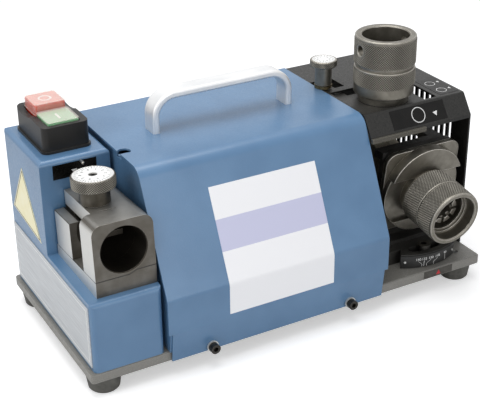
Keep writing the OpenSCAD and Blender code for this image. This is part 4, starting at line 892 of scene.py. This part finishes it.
# Phosphated steel lip welded under the guard's slanted strip: warm grey and matt, paler along its edges with
# wear and a painted highlight.
phosphated, tree, shader = new_material("phosphated_steel")
crystals = grain(tree, 1.4, detail=4.0)
shades(tree, shader, crystals.outputs[0], "#4b4841", "#625f57")
shader.inputs["Metallic"].default_value = 0.5
shader.inputs["Roughness"].default_value = 0.5
worn(tree, shader, relief(tree, shader, crystals.outputs[0], 0.03, 0.5), "#8d897f")
finish(phosphated, "guard_lip")

printed_low, printed_high = 0.15, 0.3
strip_face = flat(354, 33, 162.0, (1, 0, 0), (0, 14.4, 20.4))
plate("strip_label", box_outline(0, 67, 2.2, 22.4), stuck, 0.2, strip_face, vinyl, "frame")
shape = bmesh.new()
prism(shape, disc(8.2, 33, 12.4), printed_low, printed_high, strip_face, hole=disc(7.4, 33, 12.4))
prism(shape, [(50.6, 11.6), (56.4, 12.6), (54.4, 7.4)], printed_low, printed_high, strip_face)
finished("strip_marks", shape, inks["white"], "frame")

top_face = flat(423.2, 52.5, 182.4, (1, 0, 0), (0, 1, 0))
plate("top_label", box_outline(0, 23.5, 0, 44), stuck, 0.2, top_face, vinyl, "frame")
shape = bmesh.new()
for y in (10, 30):
    prism(shape, disc(5.6, 9.5, y), printed_low, printed_high, top_face, hole=disc(5.0, 9.5, y))
    prism(shape, [(18.2, y + 1.0), (21.6, y + 3.4), (21.0, y - 1.6)], printed_low, printed_high, top_face)
finished("top_marks", shape, inks["white"], "frame")

# ---------- adjusting knob ----------
# Turned steel knob with a knurled rim and a white anodised face, which feeds the upper port to the wheel.
# Its stem goes down through a brass collar that is pressed into the guard.

knob_axis = axis_at(330.5, 132, 0)
knob_top = 214.1
finish(turned("turned_knob_steel", knob_axis), "adjust_knob")
knob_knurl = turned("knurled_knob_steel", knob_axis, crests=(13.9, 0.5))
grown("adjust_knob_knurl", knurl, knob_axis @ millimetres, knob_knurl, "adjust_knob", "chuck_steel",
      Radius=13.9, Bottom=knob_top - 6.6, Rows=5, Around=42, Relief=0.5, Hole_Height=0.0, Hole_Radius=0.0)
grown("adjust_knob_ticks", ticks, knob_axis @ millimetres, inks["black"], "adjust_knob", "black_plastic",
      Count=20, Rim=11.4, Short=2.0, Long=3.2, Every=2, Width=0.35, Height=knob_top, Thickness=print_depth)
ten_numbers("adjust_knob_numbers", knob_axis, 6.4, knob_top, 1.8, "adjust_knob")

# Brass collar: dull, with darker patches of tarnish.
brass, tree, shader = new_material("tarnished_brass")
shades(tree, shader, grain(tree, 3.0, detail=4.0).outputs[0], "#615741", "#7c7054")
shader.inputs["Metallic"].default_value = 1.0
shader.inputs["Roughness"].default_value = 0.4
finish(brass, "adjust_collar")

# ---------- upper chuck ----------
# Turned steel chuck that stands in the upper port, with a knurled draw ring over its knurled body.
# A turn of the ring draws a split collet down into the body, and a bar in its side hole tightens it.

top_axis = axis_at(374.3, 84.7, 0)
finish(turned("turned_upper_chuck_steel", top_axis), "top_chuck_body", "top_chuck_ring")
top_knurl = turned("knurled_upper_chuck_steel", top_axis, crests=(31.25, 0.7))
grown("top_body_knurl", knurl, top_axis @ millimetres, top_knurl, "top_chuck", "chuck_steel",
      Radius=31.25, Bottom=197.0, Rows=13, Around=82, Relief=0.7, Hole_Height=0.0, Hole_Radius=0.0)
grown("top_ring_knurl", knurl, top_axis @ millimetres, top_knurl, "top_ring", "chuck_steel",
      Radius=31.25, Bottom=219.0, Rows=21, Around=82, Relief=0.7, Hole_Height=235.0, Hole_Radius=7.6)
finish(turned("turned_collet_steel", top_axis, "#55524c", "#6a675f"), "top_collet")

# ---------- swivel and its scale ----------
# Black bracket that turns on a bolt and carries the front port. Its arc has a black scale plate
# with white marks for the usual point angles, fixed with two small screws.

# Black anodised aluminium: even and smooth, with a low gloss.
scale_plate, tree, shader = new_material("black_anodised_scale")
shades(tree, shader, grain(tree, 5.0).outputs[0], "#171716", "#222120")
shader.inputs["Roughness"].default_value = 0.38
finish(scale_plate, "angle_scale")

pivot_x, pivot_y = 394, 72.7
scale_r = 66.0


def on_scale(angle, z):
    """Matrix of a spot on the scale's face: X to the right along the arc, Y up, Z outwards."""
    a = math.radians(angle - 90)
    out = Vector((math.cos(a), math.sin(a), 0))
    place = Vector((pivot_x, pivot_y, z)) + out * scale_r
    return flat(place.x, place.y, place.z, (-out.y, out.x, 0), (0, 0, 1))


# Each number with its own place along the arc, and that of its line, in degrees.
marks = (
    ("140", -16.4, -12.8), ("135", -10.4, -10.8), ("130", -3.6, -8.0), ("118", 3.8, -0.4), ("90", 13.6, 13.6)
)
numbers("scale_numbers", [(text, on_scale(angle, 20.6)) for text, angle, _ in marks],
        2.9, 0.16, inks["white"], "swivel")
shape = bmesh.new()
half_line = 0.2
for _, angle, tick in marks:
    lean = math.radians(angle - tick) * scale_r
    prism(shape, [(-half_line, -6.2), (half_line, -6.2), (half_line, -3.2), (lean + half_line, 0.4),
                  (lean - half_line, 0.4), (-half_line, -3.2)], -0.06, 0.1, on_scale(tick, 18.2))
finished("scale_lines", shape, inks["white"], "swivel")

# ---------- front chuck ----------
# Chuck of the same turned steel that lies in the front port: a cam flange guides it as it turns.
# Its knurled sleeve draws a split collet by a castellated tube, and the bracket's port plate holds it.

port_axis = axis_at(pivot_x, pivot_y, 91.5, 98)
finish(turned("turned_front_chuck_steel", port_axis),
       "port_plate", "cam_flange", "chuck_body", "chuck_sleeve")
finish(turned("turned_draw_tube_steel", port_axis, "#7b776f", "#96928a"), "draw_tube", "front_collet")
front_knurl = turned("knurled_front_chuck_steel", port_axis, crests=(30.0, 0.7))
grown("front_body_knurl", knurl, port_axis @ millimetres, front_knurl, "front_chuck", "chuck_steel",
      Radius=30.0, Bottom=46.4, Rows=19, Around=80, Relief=0.7, Hole_Height=0.0, Hole_Radius=0.0)
grown("front_sleeve_knurl", knurl, port_axis @ millimetres, front_knurl, "front_sleeve", "chuck_steel",
      Radius=30.0, Bottom=71.6, Rows=17, Around=80, Relief=0.7, Hole_Height=0.0, Hole_Radius=0.0)

# ---------- motor and wheel ----------
# Induction motor with a smooth steel shell between cast end bells, bolted to the base plate by its foot.
# Its shaft carries the grinding wheel, clamped on a hub by a nut.

# Grey motor enamel: sprayed, with a fine peel.
motor_paint, tree, shader = new_material("grey_motor_enamel")
shades(tree, shader, grain(tree, 25.0).outputs[0], "#61666a", "#6f7478")
enamel_peel = grain(tree, 1.3)
shades(tree, shader, enamel_peel.outputs[0], 0.4, 0.55, socket="Roughness")
relief(tree, shader, enamel_peel.outputs[0], 0.04)
finish(motor_paint, "motor_body", "motor_foot")

# Die-cast aluminium end bells: a skin with faint flow marks.
cast, tree, shader = new_material("die_cast_aluminium")
flow = grain(tree, 2.5, detail=4.0)
shades(tree, shader, flow.outputs[0], "#8e9091", "#a8aaab")
shader.inputs["Metallic"].default_value = 0.8
shader.inputs["Roughness"].default_value = 0.5
relief(tree, shader, flow.outputs[0], 0.05)
finish(cast, "end_bells")

# Vitrified abrasive: open grit of about 0.4 mm, drawn at 0.8 mm so that it shows.
grit, tree, shader = new_material("vitrified_abrasive")
grains = grain(tree, 0.8, detail=4.0)
shades(tree, shader, grains.outputs[0], "#8d8676", "#c2bba9")
shader.inputs["Roughness"].default_value = 0.9
relief(tree, shader, grains.outputs[0], 0.25)
finish(grit, "grinding_wheel")
